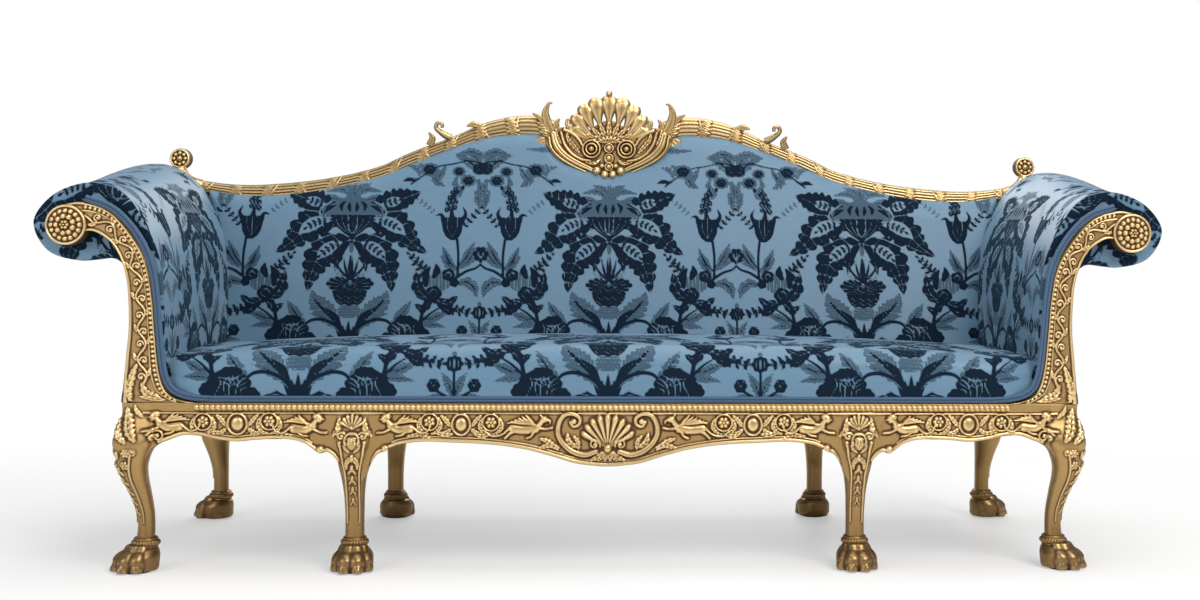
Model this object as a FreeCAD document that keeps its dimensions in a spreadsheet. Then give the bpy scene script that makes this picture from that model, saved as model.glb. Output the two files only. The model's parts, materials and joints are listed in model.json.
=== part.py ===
import FreeCAD, Part
import math
import os
import re

# A long carved sofa: eight paw feet, out-scrolled arms, camel back with a shell crest.
# Millimetres, X across, Y from front to back, Z up from the floor.

Vector = FreeCAD.Vector
doc = FreeCAD.newDocument("Sofa")
sheet = doc.addObject("Spreadsheet::Sheet", "sizes")

toeReach = 48.2
crestReach = 92.7
frameDepth = 581

drivingSizes = {
    # seat frame
    "legSpan": 1780,
    "innerLegSpan": 974,
    "frameDepth": frameDepth,
    "frontAxis": (toeReach - crestReach - frameDepth) / 2,
    "blockWide": 64,
    "innerBlockWide": 68,
    "blockDrop": 87,
    "railTop": 325,
    "railThick": 32,
    "apronDrop": 62,
    "apronCentreDrop": 122,
    "tenonLength": 18,
    "tenonThick": 12,
    "tenonDrop": 12,
    "tenonHigh": 42,
    "fitGap": 0.2,
    "beadHigh": 13,
    "beadThick": 6,
    "beadDrop": 2,
    "crossRailWide": 44,
    "crossRailHigh": 36,
    "crossRailDrop": 22,
    "braceReach": 108,
    "braceWide": 50,
    "braceHigh": 44,
    # legs and paws
    "padThick": 4,
    "padRadius": 27,
    "pawHigh": 47,
    "pawLong": 46,
    "pawWide": 41,
    "pawForward": 20,
    "toeWide": 12.5,
    "collarHigh": 14,
    "collarLap": 4,
    "collarRadius": 27.5,
    # arms
    "facingThick": 30,
    "roundelX": 1025,
    "roundelZ": 661,
    "roundelRadius": 40,
    "roundelThick": 9,
    "armInnerFront": 851,
    "armInnerBack": 861,
    "armOuter": 905,
    "armBarRadius": 26,
    "armRailThick": 24,
    "armRailHigh": 40,
    "armRailLift": 12,
    # back
    "rake": 6.6,
    "backBoard": 30,
    "postWide": 60,
    "topRailHigh": 45,
    "tackingLift": 55,
    "tackingHigh": 48,
    "uprightWide": 60,
    "stumpX": 1042,
    "stumpZ": 712,
    "stumpRadius": 70,
    # crest
    "crestEnd": 968,
    "mouldingHigh": 32,
    "mouldingDeep": 42,
    "archStart": 400,
    "archDeep": 50,
    "archHigh": 46,
    "rosetteX": 998,
    "rosetteZ": 829,
    "rosetteRadius": 24,
    "rosetteDeep": 40,
    "shellFoot": 852,
    "shellRadius": 139,
    "shellThick": 12,
    "shellRibRadius": 13,
    "cartoucheThick": 18,
    "voluteThick": 8,
    "slotWide": 4.5,
    "voluteX": 41,
    "voluteZ": 860,
    "voluteRadius": 22,
    # soft parts
    "seatCrown": 443,
    "seatFront": 2,
    "seatRear": 205,
    "coverThick": 2,
    "clothThick": 1.5,
    "webWide": 50,
    "webThick": 2,
    "softGap": 0.3,
    "backBottomThick": 66,
    "backTopThick": 10,
    "gimpWide": 12,
    "gimpThick": 2,
}

for row, (alias, number) in enumerate(drivingSizes.items(), start=1):
    sheet.set("A%d" % row, alias)
    sheet.set("B%d" % row, str(number))
    sheet.setAlias("B%d" % row, alias)
doc.recompute()


def size(name):
    """A driving dimension, read from the sheet."""
    return float(sheet.get(name))


def formula(words):
    """Turn the plain names in an expression into cells of the sheet."""
    return re.sub(r"[A-Za-z]+", lambda found: "sizes." + found.group(0), words)


# Values that several pieces share

railTop = size("railTop")
railThick = size("railThick")
frontAxis = size("frontAxis")
backAxis = frontAxis + size("frameDepth")
legX = size("legSpan") / 2
drawnLegX = 890
widen = legX - drawnLegX
roundelX = size("roundelX") + widen
stumpX = size("stumpX") + widen
crestEnd = size("crestEnd") + widen
rosetteX = size("rosetteX") + widen
armInnerFront = size("armInnerFront") + widen
armInnerBack = size("armInnerBack") + widen
armOuter = size("armOuter") + widen
innerLegX = size("innerLegSpan") / 2
halfBlock = size("blockWide") / 2
halfInnerBlock = size("innerBlockWide") / 2
frontFace = frontAxis - halfBlock
backFace = backAxis + halfBlock
outerFace = legX + halfBlock
innerBlockFront = frontFace + halfInnerBlock
innerBlockBack = backFace - halfInnerBlock
blockLow = railTop - size("blockDrop")
fitGap = size("fitGap")
softGap = size("softGap")
coverThick = size("coverThick")
facingRear = frontFace + size("facingThick")
ankleZ = size("padThick") + size("pawHigh") + size("collarHigh") - 2 * size("collarLap")
boardHalf = size("backBoard") / 2
sides = (("left", -1), ("right", 1))
ends = (("front", -1), ("back", 1))


def atSide(points, side):
    """Points of the right half, or their mirror for the left half."""
    return [(side * x, z) for x, z in points]


def spread(points):
    """Outline points of an end piece, moved out with the legs when the sofa is made wider."""
    return tuple((x + widen, z) for x, z in points)


def spline(vectors):
    curve = Part.BSplineCurve()
    curve.interpolate(vectors)
    return curve


def polyline(vectors):
    return [Part.LineSegment(a, b) for a, b in zip(vectors[:-1], vectors[1:])]


def bend(vectors, steps=None):
    """A smooth curve through the points, as short straight edges: two per span unless told."""
    return polyline(spline(vectors).discretize((steps or 2 * (len(vectors) - 1)) + 1))


def wireOf(curves):
    return Part.Wire(Part.__sortEdges__([curve.toShape() for curve in curves]))


def prism(curves, reach):
    """A closed outline carried along one vector."""
    return Part.Face(wireOf(curves)).extrude(reach)


def box(x0, x1, y0, y1, z0, z1):
    corner = Vector(min(x0, x1), min(y0, y1), min(z0, z1))
    return Part.makeBox(abs(x1 - x0), abs(y1 - y0), abs(z1 - z0), corner)


def largest(shape):
    """The main solid left by a cut."""
    return sorted(shape.Solids, key=lambda solid: solid.Volume)[-1]


def ringFaces(lower, upper):
    """The flat faces between two rings of corners: one where the four corners lie in a plane, else two."""
    faces = []
    for index in range(len(lower)):
        a, b = lower[index - 1], lower[index]
        d, c = upper[index - 1], upper[index]
        across = (b - a).cross(d - a)
        if across.Length and abs((c - a).dot(across.normalize())) < 1e-7:
            faces.append(Part.Face(Part.makePolygon([a, b, c, d, a])))
        else:
            faces.append(Part.Face(Part.makePolygon([a, b, c, a])))
            faces.append(Part.Face(Part.makePolygon([a, c, d, a])))
    return faces


def facetedLoft(rings):
    """A solid with flat facets through rings of corners, closed by a cap at each end."""
    faces = []
    for lower, upper in zip(rings[:-1], rings[1:]):
        faces += ringFaces(lower, upper)
    for ring in (rings[0], rings[-1]):
        faces.append(Part.Face(Part.makePolygon(ring + ring[:1])))
    solid = Part.Solid(Part.Shell(faces))
    if solid.Volume < 0:
        solid.reverse()
    return solid


def facetedTaper(foot, aim, length, footRadius, tipRadius, count=10):
    """A tapered bar with flat sides, from its foot along a direction."""
    way = Vector(aim)
    way.normalize()
    across = way.cross(Vector(0, 1, 0)) if abs(way.y) < 0.9 else Vector(1, 0, 0)
    across.normalize()
    other = way.cross(across)
    rings = []
    for reach, radius in ((0, footRadius), (length, tipRadius)):
        rings.append([foot + way * reach + (across * math.cos(2 * math.pi * (step + 0.5) / count)
                                            + other * math.sin(2 * math.pi * (step + 0.5) / count)) * radius
                      for step in range(count)])
    return facetedLoft(rings)


def feature(label, shape, placement=None):
    piece = doc.addObject("Part::Feature", label)
    piece.Label = label
    piece.Shape = shape
    if placement:
        piece.Placement = placement
    return piece


def board(label, corner, extent):
    """A plain rectangular board whose place and sizes follow the sheet."""
    piece = doc.addObject("Part::Box", label)
    piece.Label = label
    for axis, words in zip("xyz", corner):
        piece.setExpression("Placement.Base." + axis, formula(words))
    for name, words in zip(("Length", "Width", "Height"), extent):
        piece.setExpression(name, formula(words))
    return piece


def sketchOn(body, role, curves, name):
    plane = [item for item in body.Origin.OriginFeatures if item.Role == role][0]
    sketch = body.newObject("Sketcher::SketchObject", name)
    sketch.AttachmentSupport = [(plane, "")]
    sketch.MapMode = "FlatFace"
    for curve in curves:
        sketch.addGeometry(curve)
    return sketch


def flat(points):
    return [Vector(a, b, 0) for a, b in points]


def addPad(body, role, curves, thickness, name):
    sketch = sketchOn(body, role, curves, body.Label + name + "Sketch")
    pad = body.newObject("PartDesign::Pad", body.Label + name)
    pad.Profile = sketch
    pad.SideType = "Symmetric"
    pad.setExpression("Length", formula(thickness))
    return pad


def outlineBody(label, curves, thickness, depth, role="XZ_Plane"):
    """A board sawn to an outline, its middle plane at the given depth."""
    body = doc.addObject("PartDesign::Body", label)
    body.Label = label
    addPad(body, role, curves, thickness, "Board")
    axis = {"XZ_Plane": "y", "YZ_Plane": "x"}[role]
    if depth:
        body.setExpression("Placement.Base." + axis, formula(depth))
    return body


# The raked back: upright outlines turned about the top of the back rail

rakePlacement = FreeCAD.Placement(
    Vector(0, 0, 0),
    FreeCAD.Rotation(Vector(1, 0, 0), -size("rake")),
    Vector(0, backAxis, railTop),
)
rakeDrift = math.tan(math.radians(size("rake")))


def leaning(shape):
    copy = shape.copy()
    copy.Placement = rakePlacement.multiply(copy.Placement)
    return copy


# Seat rails


def apronCurve(start, end, drops):
    """The sawn lower edge of a rail: drops below the rail's top at shares of its length."""
    share = size("apronDrop") / 62
    return [(start + (end - start) * t, railTop - drop * share) for t, drop in drops]


def railCurves(start, end, lower):
    """Rail outline with straight ends: top edge, two ends and the sawn edge."""
    first = (start, lower[0][1])
    last = (end, lower[-1][1])
    curves = polyline(flat([first, (start, railTop), (end, railTop), last]))
    return curves + bend(flat(lower))


def tenonCurves(start, end):
    reach = math.copysign(size("tenonLength"), end - start)
    high = railTop - size("tenonDrop")
    low = high - size("tenonHigh")
    corners = [(start - reach, low), (start - reach, high), (end + reach, high), (end + reach, low)]
    return polyline(flat(corners + corners[:1]))


def rail(label, start, end, lower, depth, role="XZ_Plane"):
    body = outlineBody(label, railCurves(start, end, lower), "railThick", depth, role)
    addPad(body, role, tenonCurves(start, end), "tenonThick", "Tenon")
    return body


shortDrops = ((0, 85), (0.05, 77), (0.16, 62), (0.3, 66), (0.45, 74), (0.58, 70),
              (0.75, 70), (0.84, 79), (0.915, 98), (0.96, 92), (1, 85))
centreDrops = ((0, 85), (0.03, 94), (0.06, 97), (0.126, 79), (0.22, 74), (0.33, 76),
               (0.45, 78), (0.55, 82), (0.66, 90), (0.77, 103), (0.856, 115), (1, 122))
sideDrops = ((0, 85), (0.06, 76), (0.14, 64), (0.32, 68), (0.5, 76), (0.68, 68),
             (0.86, 64), (0.94, 76), (1, 85))
blockInner = legX - halfBlock
innerNear = innerLegX + halfInnerBlock
innerFar = innerLegX - halfInnerBlock
frontRailDepth = "frontAxis - blockWide / 2 + railThick / 2"
backRailDepth = "frontAxis + frameDepth + blockWide / 2 - railThick / 2"

for sideName, side in sides:
    shortRail = apronCurve(side * blockInner, side * innerNear, shortDrops)
    rail("front_rail_" + sideName, side * blockInner, side * innerNear, shortRail, frontRailDepth)
    rail("back_rail_" + sideName, side * blockInner, side * innerNear, shortRail, backRailDepth)
    sideRail = apronCurve(frontAxis + halfBlock, backAxis - halfBlock, sideDrops)
    sideDepth = ("legSpan / 2 + blockWide / 2 - railThick / 2" if side > 0
                 else "0 - legSpan / 2 - blockWide / 2 + railThick / 2")
    rail("side_rail_" + sideName, frontAxis + halfBlock, backAxis - halfBlock,
         sideRail, sideDepth, "YZ_Plane")

centreShare = size("apronCentreDrop") / 122
halfCentre = [(x, railTop - (railTop - z) * centreShare)
              for x, z in apronCurve(-innerFar, 0, centreDrops)]
wholeCentre = halfCentre + [(-x, z) for x, z in reversed(halfCentre[:-1])]
rail("front_rail_center", -innerFar, innerFar, wholeCentre, frontRailDepth)
shallowCentre = apronCurve(-innerFar, innerFar, sideDrops)
rail("back_rail_center", -innerFar, innerFar, shallowCentre, backRailDepth)

# Cross rails tie the front inner legs to the back inner legs

for sideName, side in sides:
    place = "innerLegSpan / 2" if side > 0 else "0 - innerLegSpan / 2"
    board("cross_rail_" + sideName,
          (place + " - crossRailWide / 2",
           "frontAxis - blockWide / 2 + innerBlockWide",
           "railTop - crossRailDrop - crossRailHigh"),
          ("crossRailWide", "frameDepth + blockWide - 2 * innerBlockWide", "crossRailHigh"))

# Glued braces across the four corners of the seat frame

braceTop = railTop - size("tenonDrop") - fitGap
bracePieces = []
for sideName, side in sides:
    for endName, end in ends:
        railIn = (frontFace + railThick) if end < 0 else (backFace - railThick)
        sideIn = outerFace - railThick
        reach = size("braceReach")
        wide = size("braceWide")
        plan = [(sideIn - reach - wide, 0), (sideIn - reach, 0), (sideIn, reach), (sideIn, reach + wide)]
        corners = [Vector(side * x, railIn - end * y, braceTop - size("braceHigh")) for x, y in plan]
        outline = polyline(corners + corners[:1])
        bracePieces.append(prism(outline, Vector(0, 0, size("braceHigh"))))
feature("corner_braces", Part.makeCompound(bracePieces))

# Legs: a square block above, a cabriole below, a collar and a lion's paw.
# Each station: share of the height from ankle to rail top, swing outwards and half width.

frontStations = ((0.9, 0, 31), (0.76, 7, 38.6), (0.68, 10.5, 37.8), (0.557, 13.5, 29.5), (0.455, 10, 25.5),
                 (0.337, 1.5, 20.5), (0.205, -5.5, 17.3), (0.102, -7, 16.9), (0, -6, 17.8))
backStations = ((0.9, 0, 31), (0.76, 7, 38.6), (0.68, 10.5, 37.8), (0.557, 14, 34.5), (0.455, 12, 31.5),
                (0.337, 4, 24.5), (0.205, -4, 18.6), (0.102, -5.5, 17.5), (0, -5.5, 17.8))
innerStations = ((0.9, 0, 33), (0.76, 5, 34.5), (0.68, 8, 34.5), (0.557, 8.5, 32.5), (0.455, 7, 25.6),
                 (0.337, 1, 21.4), (0.205, -5, 19.6), (0.102, -6, 19.2), (0, -6, 19.4))
legSides = 12
squareness = 2.6


def power(value, exponent):
    return math.copysign(abs(value) ** exponent, value)


def roundedSection(centre, half):
    """A rounded square in plan. Every section has the same shape, so the loft's faces stay flat."""
    points = []
    for step in range(legSides):
        angle = 2 * math.pi * (step + 0.5) / legSides
        points.append(centre + Vector(half * power(math.cos(angle), 2 / squareness),
                                      half * power(math.sin(angle), 2 / squareness), 0))
    return points


def ovalSection(centre, heading, long, wide, count=12):
    across = Vector(-heading.y, heading.x, 0)
    points = []
    for step in range(count):
        angle = 2 * math.pi * (step + 0.5) / count
        points.append(centre + heading * (long * math.cos(angle)) + across * (wide * math.sin(angle)))
    return points


def toeShape(ankle, heading, angle, low, high):
    """One knuckled toe: oval sections that swell at the ball and run back over the knuckle."""
    aim = heading * math.cos(angle) + Vector(-heading.y, heading.x, 0) * math.sin(angle)
    long = size("pawLong")
    wide = size("toeWide")
    start = ankle + heading * (size("pawForward") * 0.55)
    levels = ((0, 0.52, 0.3, 0.8), (0.2, 0.56, 0.38, 1), (0.5, 0.5, 0.38, 1), (0.8, 0.3, 0.26, 0.7))
    return facetedLoft([ovalSection(start + aim * (long * out) + Vector(0, 0, low + share * (high - low)),
                                    aim, long * deep, wide * narrow, 8)
                        for share, out, deep, narrow in levels])


def pawShape(ankle, heading):
    """A lion's paw: a rounded body that narrows to the ankle, with four toes set around its front."""
    low = size("padThick")
    high = low + size("pawHigh")
    long = size("pawLong")
    wide = size("pawWide")
    forward = size("pawForward")
    levels = ((0, 0.9, 0.82, 0.86), (0.2, 0.9, 0.86, 0.9), (0.45, 0.8, 0.8, 0.84),
              (0.75, 0.4, 0.6, 0.66), (1, 0.1, 0.44, 0.5))
    body = facetedLoft([ovalSection(ankle + heading * (forward * ahead) + Vector(0, 0, low + share * (high - low)),
                                    heading, long * a, wide * b)
                        for share, ahead, a, b in levels])
    toes = [toeShape(ankle, heading, math.radians(turn), low, low + (high - low) * tall)
            for turn, tall in ((-66, 0.66), (-23, 0.78), (23, 0.78), (66, 0.66))]
    return body.fuse(toes)


def collarShape(ankle):
    """The ring above the paw: a band with bevelled edges about the ankle."""
    radius = size("collarRadius")
    high = size("collarHigh")
    low = size("padThick") + size("pawHigh") - size("collarLap")
    edge = high / 4
    steps = ((0, radius - edge), (edge, radius), (high - edge, radius), (high, radius - edge))
    return facetedLoft([ovalSection(Vector(ankle.x, ankle.y, low + height), Vector(1, 0, 0), reach, reach)
                        for height, reach in steps])


def legShape(axis, outward, stations, halfWide, blockBack):
    """One carved leg. outward holds the swing's direction along X and Y."""
    rings = []
    for share, swing, half in stations:
        height = ankleZ + share * (railTop - ankleZ)
        centre = Vector(axis.x + outward.x * swing, axis.y + outward.y * swing, height)
        rings.append(roundedSection(centre, half))
    shank = facetedLoft(rings)
    lastSwing = stations[-1][1]
    ankle = Vector(axis.x + outward.x * lastSwing, axis.y + outward.y * lastSwing, 0)
    heading = Vector(outward.x, outward.y, 0)
    heading.normalize()
    block = box(axis.x - halfWide, axis.x + halfWide, blockBack[0], blockBack[1], blockLow, railTop)
    shape = shank.fuse([block, collarShape(ankle), pawShape(ankle, heading)])
    return shape, ankle + heading * size("pawForward")


def besideBlock(axis, halfWide, blockBack, outward):
    """Room for the rails beside a block: nothing of the leg swells past its inner side faces."""
    low = blockLow - 30
    rooms = []
    for way in (-1, 1):
        if outward.x != way:
            rooms.append(box(axis.x + way * halfWide, axis.x + way * (halfWide + 30),
                             axis.y - 80, axis.y + 80, low, railTop))
    inside = blockBack[1] if outward.y < 0 else blockBack[0]
    rooms.append(box(axis.x - 80, axis.x + 80, inside, inside - outward.y * 40, low, railTop))
    return rooms


def mortise(centre, halfX, halfY):
    high = railTop - size("tenonDrop") + fitGap
    low = high - size("tenonHigh") - 2 * fitGap
    return box(centre.x - halfX, centre.x + halfX, centre.y - halfY, centre.y + halfY, low, high)


def mortiseAlongX(x, direction, y):
    """The pocket that a rail's tenon enters, seen from the block's side face at x."""
    reach = size("tenonLength") + fitGap
    middle = Vector(x - direction * (reach - 1) / 2, y, 0)
    return mortise(middle, (reach + 1) / 2, size("tenonThick") / 2 + fitGap)


def mortiseAlongY(y, direction, x):
    reach = size("tenonLength") + fitGap
    middle = Vector(x, y - direction * (reach - 1) / 2, 0)
    return mortise(middle, size("tenonThick") / 2 + fitGap, (reach + 1) / 2)


padCentres = []
for sideName, side in sides:
    for endName, end in ends:
        axisY = frontAxis if end < 0 else backAxis
        railY = (frontFace + railThick / 2) if end < 0 else (backFace - railThick / 2)
        stations = frontStations if end < 0 else backStations
        shape, padCentre = legShape(Vector(side * legX, axisY, 0), Vector(side, end, 0), stations,
                                    halfBlock, (axisY - halfBlock, axisY + halfBlock))
        cuts = [mortiseAlongX(side * blockInner, -side, railY),
                mortiseAlongY(axisY - end * halfBlock, -end, side * (outerFace - railThick / 2))]
        cuts += besideBlock(Vector(side * legX, axisY, 0), halfBlock,
                            (axisY - halfBlock, axisY + halfBlock), Vector(side, end, 0))
        feature(endName + "_corner_leg_" + sideName, largest(shape.cut(cuts)))
        padCentres.append(padCentre)

        blockY = innerBlockFront if end < 0 else innerBlockBack
        shape, padCentre = legShape(Vector(side * innerLegX, blockY, 0), Vector(0, end, 0), innerStations,
                                    halfInnerBlock, (blockY - halfInnerBlock, blockY + halfInnerBlock))
        cuts = [mortiseAlongX(side * innerNear, side, railY), mortiseAlongX(side * innerFar, -side, railY)]
        cuts += besideBlock(Vector(side * innerLegX, blockY, 0), halfInnerBlock,
                            (blockY - halfInnerBlock, blockY + halfInnerBlock), Vector(0, end, 0))
        feature(endName + "_inner_leg_" + sideName, largest(shape.cut(cuts)))
        padCentres.append(padCentre)

pads = [facetedTaper(centre, Vector(0, 0, 1), size("padThick"), size("padRadius"), size("padRadius"), 16)
        for centre in padCentres]
feature("foot_pads", Part.makeCompound(pads))

# Arm facings: the carved front of each arm, from the rail up to its scroll

facingInner = spread(((783, 325), (825, 334), (843, 355), (855, 394), (861, 464), (865, 524),
                      (877, 588), (904, 639), (946, 686), (996, 705)))
facingOuter = spread(((985, 655), (968, 648), (945, 632), (927, 605), (915, 566), (909, 524),
                      (907, 482), (911, 430), (917, 388), (921, 345), (922, 325)))


def facingCurves(side):
    """Inner edge, scroll end about the roundel, outer edge and foot."""
    centre = (roundelX, size("roundelZ"))
    radius = size("roundelRadius")
    scrollTop = (centre[0], centre[1] + radius)
    scrollFar = (centre[0] + radius * math.cos(math.radians(-50)),
                 centre[1] + radius * math.sin(math.radians(-50)))
    lift = railTop - facingInner[0][1]
    inner = [(x, z + lift * (1 - share / (len(facingInner) - 1)))
             for share, (x, z) in enumerate(facingInner)]
    outer = [(x, z + lift * share / (len(facingOuter) - 1))
             for share, (x, z) in enumerate(facingOuter)]
    inner = flat(atSide(inner + [scrollTop], side))
    outer = flat(atSide(outer, side))
    far = flat(atSide([scrollFar], side))[0]
    scroll = Part.Arc(inner[-1], far, outer[0])
    return bend(inner) + [scroll] + bend(outer) + [Part.LineSegment(outer[-1], inner[0])]


def upright(curves, depth):
    """Turn curves drawn flat in a sketch up into the XZ plane."""
    turned = []
    matrix = FreeCAD.Placement(Vector(0, depth, 0), FreeCAD.Rotation(Vector(1, 0, 0), 90)).toMatrix()
    for curve in curves:
        copy = curve.copy()
        copy.transform(matrix)
        turned.append(copy)
    return turned


for sideName, side in sides:
    outlineBody("arm_facing_" + sideName, facingCurves(side), "facingThick",
                "frontAxis - blockWide / 2 + facingThick / 2")


def roundelShape(centre, radius, thick):
    """The boss at the scroll's eye: a raised rim, a hollow and a crowned middle."""
    profile = ((1, 0), (1, 0.45), (0.88, 0.9), (0.76, 0.5), (0.5, 0.8), (0.28, 1))
    rings = []
    for reach, rise in profile:
        middle = centre - Vector(0, thick * rise, 0)
        rings.append([middle + Vector(math.cos(2 * math.pi * step / 20), 0, math.sin(2 * math.pi * step / 20))
                      * (radius * reach) for step in range(20)])
    return facetedLoft(rings)


for sideName, side in sides:
    centre = Vector(side * roundelX, frontFace, size("roundelZ"))
    feature("arm_roundel_" + sideName, roundelShape(centre, size("roundelRadius") - 2, size("roundelThick")))

# Back posts, rails and uprights, all in the raked plane

crestLine = ((985, 745), (880, 735), (790, 731), (700, 740), (590, 763), (471, 806),
             (348, 859), (262, 884), (190, 889), (140, 872))
crestLift = railTop - 325
crestStretch = crestEnd / size("crestEnd")
crestCurve = spline([Vector(a * crestStretch, 0, b + crestLift) for a, b in crestLine])


def crestHeight(x):
    """Height of the crest's lower line at a distance from the middle."""
    plane = Part.Plane(Vector(abs(x), 0, 0), Vector(1, 0, 0))
    hit = crestCurve.intersectCS(plane)[0][0]
    return hit.Z


def along(start, end, count):
    return [start + (end - start) * step / (count - 1) for step in range(count)]


mouldingLine = [(x, crestHeight(x)) for x in along(crestEnd, size("archStart"), 15)]
topRailHalf = [mouldingLine[-1], (330, crestHeight(330) - 1), (270, crestHeight(270)), (200, crestHeight(200)),
               (150, 874 + crestLift), (100, 846 + crestLift)]


def acrossMiddle(points):
    """A half outline and its mirror, from the right end to the left end."""
    return list(points) + [(-x, z) for x, z in reversed(points)]


def crestEdge(drop):
    """The line under the crest, shifted down by a drop: straight facets under the mouldings, smooth between."""
    right, middle, left = [flat([(x, z - drop) for x, z in span])
                           for span in (mouldingLine, acrossMiddle(topRailHalf),
                                        [(-x, z) for x, z in reversed(mouldingLine)])]
    return polyline(right) + bend(middle) + polyline(left)


def underCrestCurves(drop, lowerCurves, lowerStart, lowerEnd):
    """Close the crest's line with a lower edge that runs between two end points."""
    start = (mouldingLine[0][0], mouldingLine[0][1] - drop)
    end = (-start[0], start[1])
    return (crestEdge(drop) + lowerCurves
            + [Part.LineSegment(*flat([start, lowerStart])), Part.LineSegment(*flat([end, lowerEnd]))])


def bandCurves(upper, lower):
    upper = flat(upper)
    lower = flat(lower)
    ends = [Part.LineSegment(upper[-1], lower[-1]), Part.LineSegment(lower[0], upper[0])]
    return bend(upper) + bend(lower) + ends


postOuter = spread(((922, 325), (921, 480), (928, 560), (944, 640), (962, 700), (968, 760)))
postInner = tuple((x - size("postWide") + 6 * share, z) for share, (x, z) in enumerate(postOuter))


def postPrism(side, grow=0.0):
    """The post's full outline, before it is cut under the top rail."""
    outer = [(x + grow, z + crestLift * (z > 400)) for x, z in postOuter]
    inner = [(x - grow, z + crestLift * (z > 400)) for x, z in postInner]
    outer[0] = (outer[0][0], railTop - 10)
    inner[0] = (inner[0][0], railTop - 10)
    curves = upright(bandCurves(atSide(outer, side), atSide(inner, side)), backAxis + boardHalf)
    return prism(curves, Vector(0, -2 * boardHalf, 0))


def topRailPrism(grow):
    """Everything from the top rail's lower edge upwards."""
    low = size("topRailHigh") + grow
    start = (mouldingLine[0][0], mouldingLine[0][1] + 200)
    end = (-start[0], start[1])
    curves = underCrestCurves(low, polyline(flat([start, end])), start, end)
    return prism(upright(curves, backAxis + 2 * boardHalf), Vector(0, -4 * boardHalf, 0))


belowTopRail = topRailPrism(fitGap)
underRail = box(-1200, 1200, backAxis - 100, backAxis + 100, railTop - 60, railTop)
tackingLow = railTop + size("tackingLift")
tackingTop = tackingLow + size("tackingHigh")
lapFace = backAxis

for sideName, side in sides:
    post = leaning(postPrism(side).cut(belowTopRail)).cut(underRail)
    feature("back_post_" + sideName, post)

    halfUpright = size("uprightWide") / 2
    stick = box(side * innerLegX - halfUpright, side * innerLegX + halfUpright,
                backAxis - boardHalf, backAxis + boardHalf, railTop - 10, railTop + 600)
    lap = box(side * innerLegX - halfUpright, side * innerLegX + halfUpright,
              backAxis - boardHalf, lapFace + fitGap, tackingLow - fitGap, tackingTop + fitGap)
    feature("back_upright_" + sideName, leaning(stick.cut([belowTopRail, lap])).cut(underRail))

    disc = Part.makeCylinder(size("stumpRadius"), 2 * boardHalf,
                             Vector(side * stumpX, backAxis - boardHalf, size("stumpZ") + crestLift),
                             Vector(0, 1, 0))
    web = box(side * (outerFace - 2), side * stumpX, backAxis - boardHalf, backAxis + boardHalf,
              size("stumpZ") + crestLift - 52, size("stumpZ") + crestLift + 22)
    lobe = disc.fuse(web).cut([postPrism(side, fitGap), belowTopRail])
    feature("arm_back_stump_" + sideName, largest(lobe), rakePlacement)

tackingEnd = postInner[0][0] - fitGap
tackingShape = box(-tackingEnd, tackingEnd, backAxis - boardHalf, lapFace, tackingLow, tackingTop)
feature("back_tacking_rail", tackingShape.cut([postPrism(-1, fitGap), postPrism(1, fitGap)]), rakePlacement)

# Arms: an inner lining of section points for the padded scroll, front and back.
# Points run from the inner face over the scroll and back to the outer face.

armFront = spread(((852, 500), (857, 575), (882, 652), (928, 722), (995, 743), (1060, 719),
                   (1099, 668), (1072, 612), (1010, 593), (945, 597), (914, 560), (905, 500)))
armBack = spread(((861, 500), (869, 600), (893, 690), (945, 772), (1020, 813), (1090, 793),
                  (1128, 722), (1105, 655), (1045, 622), (960, 612), (914, 566), (905, 500)))
armFacets = 22
armStart = facingRear + softGap
armSpan = backAxis - boardHalf - 60 - armStart


def armPoints(share, inset):
    """Section of the arm at a share of its depth, drawn in by an inset."""
    blend = min(1.0, share)
    shiftIn = (size("armInnerFront") - 851) * (1 - blend) + (size("armInnerBack") - 861) * blend
    shiftOut = size("armOuter") - 905
    points = []
    for index, ((xf, zf), (xb, zb)) in enumerate(zip(armFront, armBack)):
        weight = index / (len(armFront) - 1)
        x = xf + (xb - xf) * blend + shiftIn * (1 - weight) + shiftOut * weight
        points.append(Vector(x, zf + (zb - zf) * blend + crestLift, 0))
    points[0].x = armInnerFront + (armInnerBack - armInnerFront) * blend
    points[-1].x = armOuter
    count = len(points)
    moved = []
    for index, point in enumerate(points):
        before = points[max(index - 1, 0)]
        after = points[min(index + 1, count - 1)]
        tangent = after - before
        if index in (0, count - 1):
            tangent = Vector(0, 1 if index == 0 else -1, 0)
        tangent.normalize()
        moved.append(point + Vector(tangent.y, -tangent.x, 0) * inset)
    return moved


def armOutline(share, inset):
    """The scroll's curve as evenly spaced points, from the inner face round to the outer face."""
    scroll = Part.BSplineCurve()
    scroll.interpolate(armPoints(share, inset), InitialTangent=Vector(0, 1, 0), FinalTangent=Vector(0, -1, 0))
    return scroll.discretize(armFacets)


def armRing(side, depth, share, inset, bottom):
    points = [Vector(side * point.x, depth, point.y) for point in armOutline(share, inset)]
    footIn = Vector(points[0].x, depth, bottom)
    footOut = Vector(points[-1].x, depth, bottom)
    return points + [footOut, footIn]


def armSolid(side, inset, front, bottom):
    """The arm's padded form between its front and the raked back frame."""
    rear = backAxis + 60
    stations = ((front, 0), (front + armSpan * 0.5, 0.5), (front + armSpan, 1), (rear, 1))
    solid = facetedLoft([armRing(side, depth, share, inset, bottom) for depth, share in stations])
    frameFront = backAxis - boardHalf - softGap
    crestFront = backAxis - size("mouldingDeep") / 2 - softGap
    crestLow = crestHeight(880) - 10
    behind = leaning(box(-1300, 1300, frameFront, backAxis + 300, 100, 1300))
    crestRoom = leaning(box(side * 840, side * (crestEnd + softGap), crestFront, backAxis, crestLow, 1300))
    rosetteLow = size("rosetteZ") + crestLift - size("rosetteRadius") - 6
    rosetteRoom = leaning(box(side * 840, side * (rosetteX + size("rosetteRadius") + 1),
                              crestFront, backAxis, rosetteLow, 1300))
    return solid.cut([behind, crestRoom, rosetteRoom])


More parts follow.
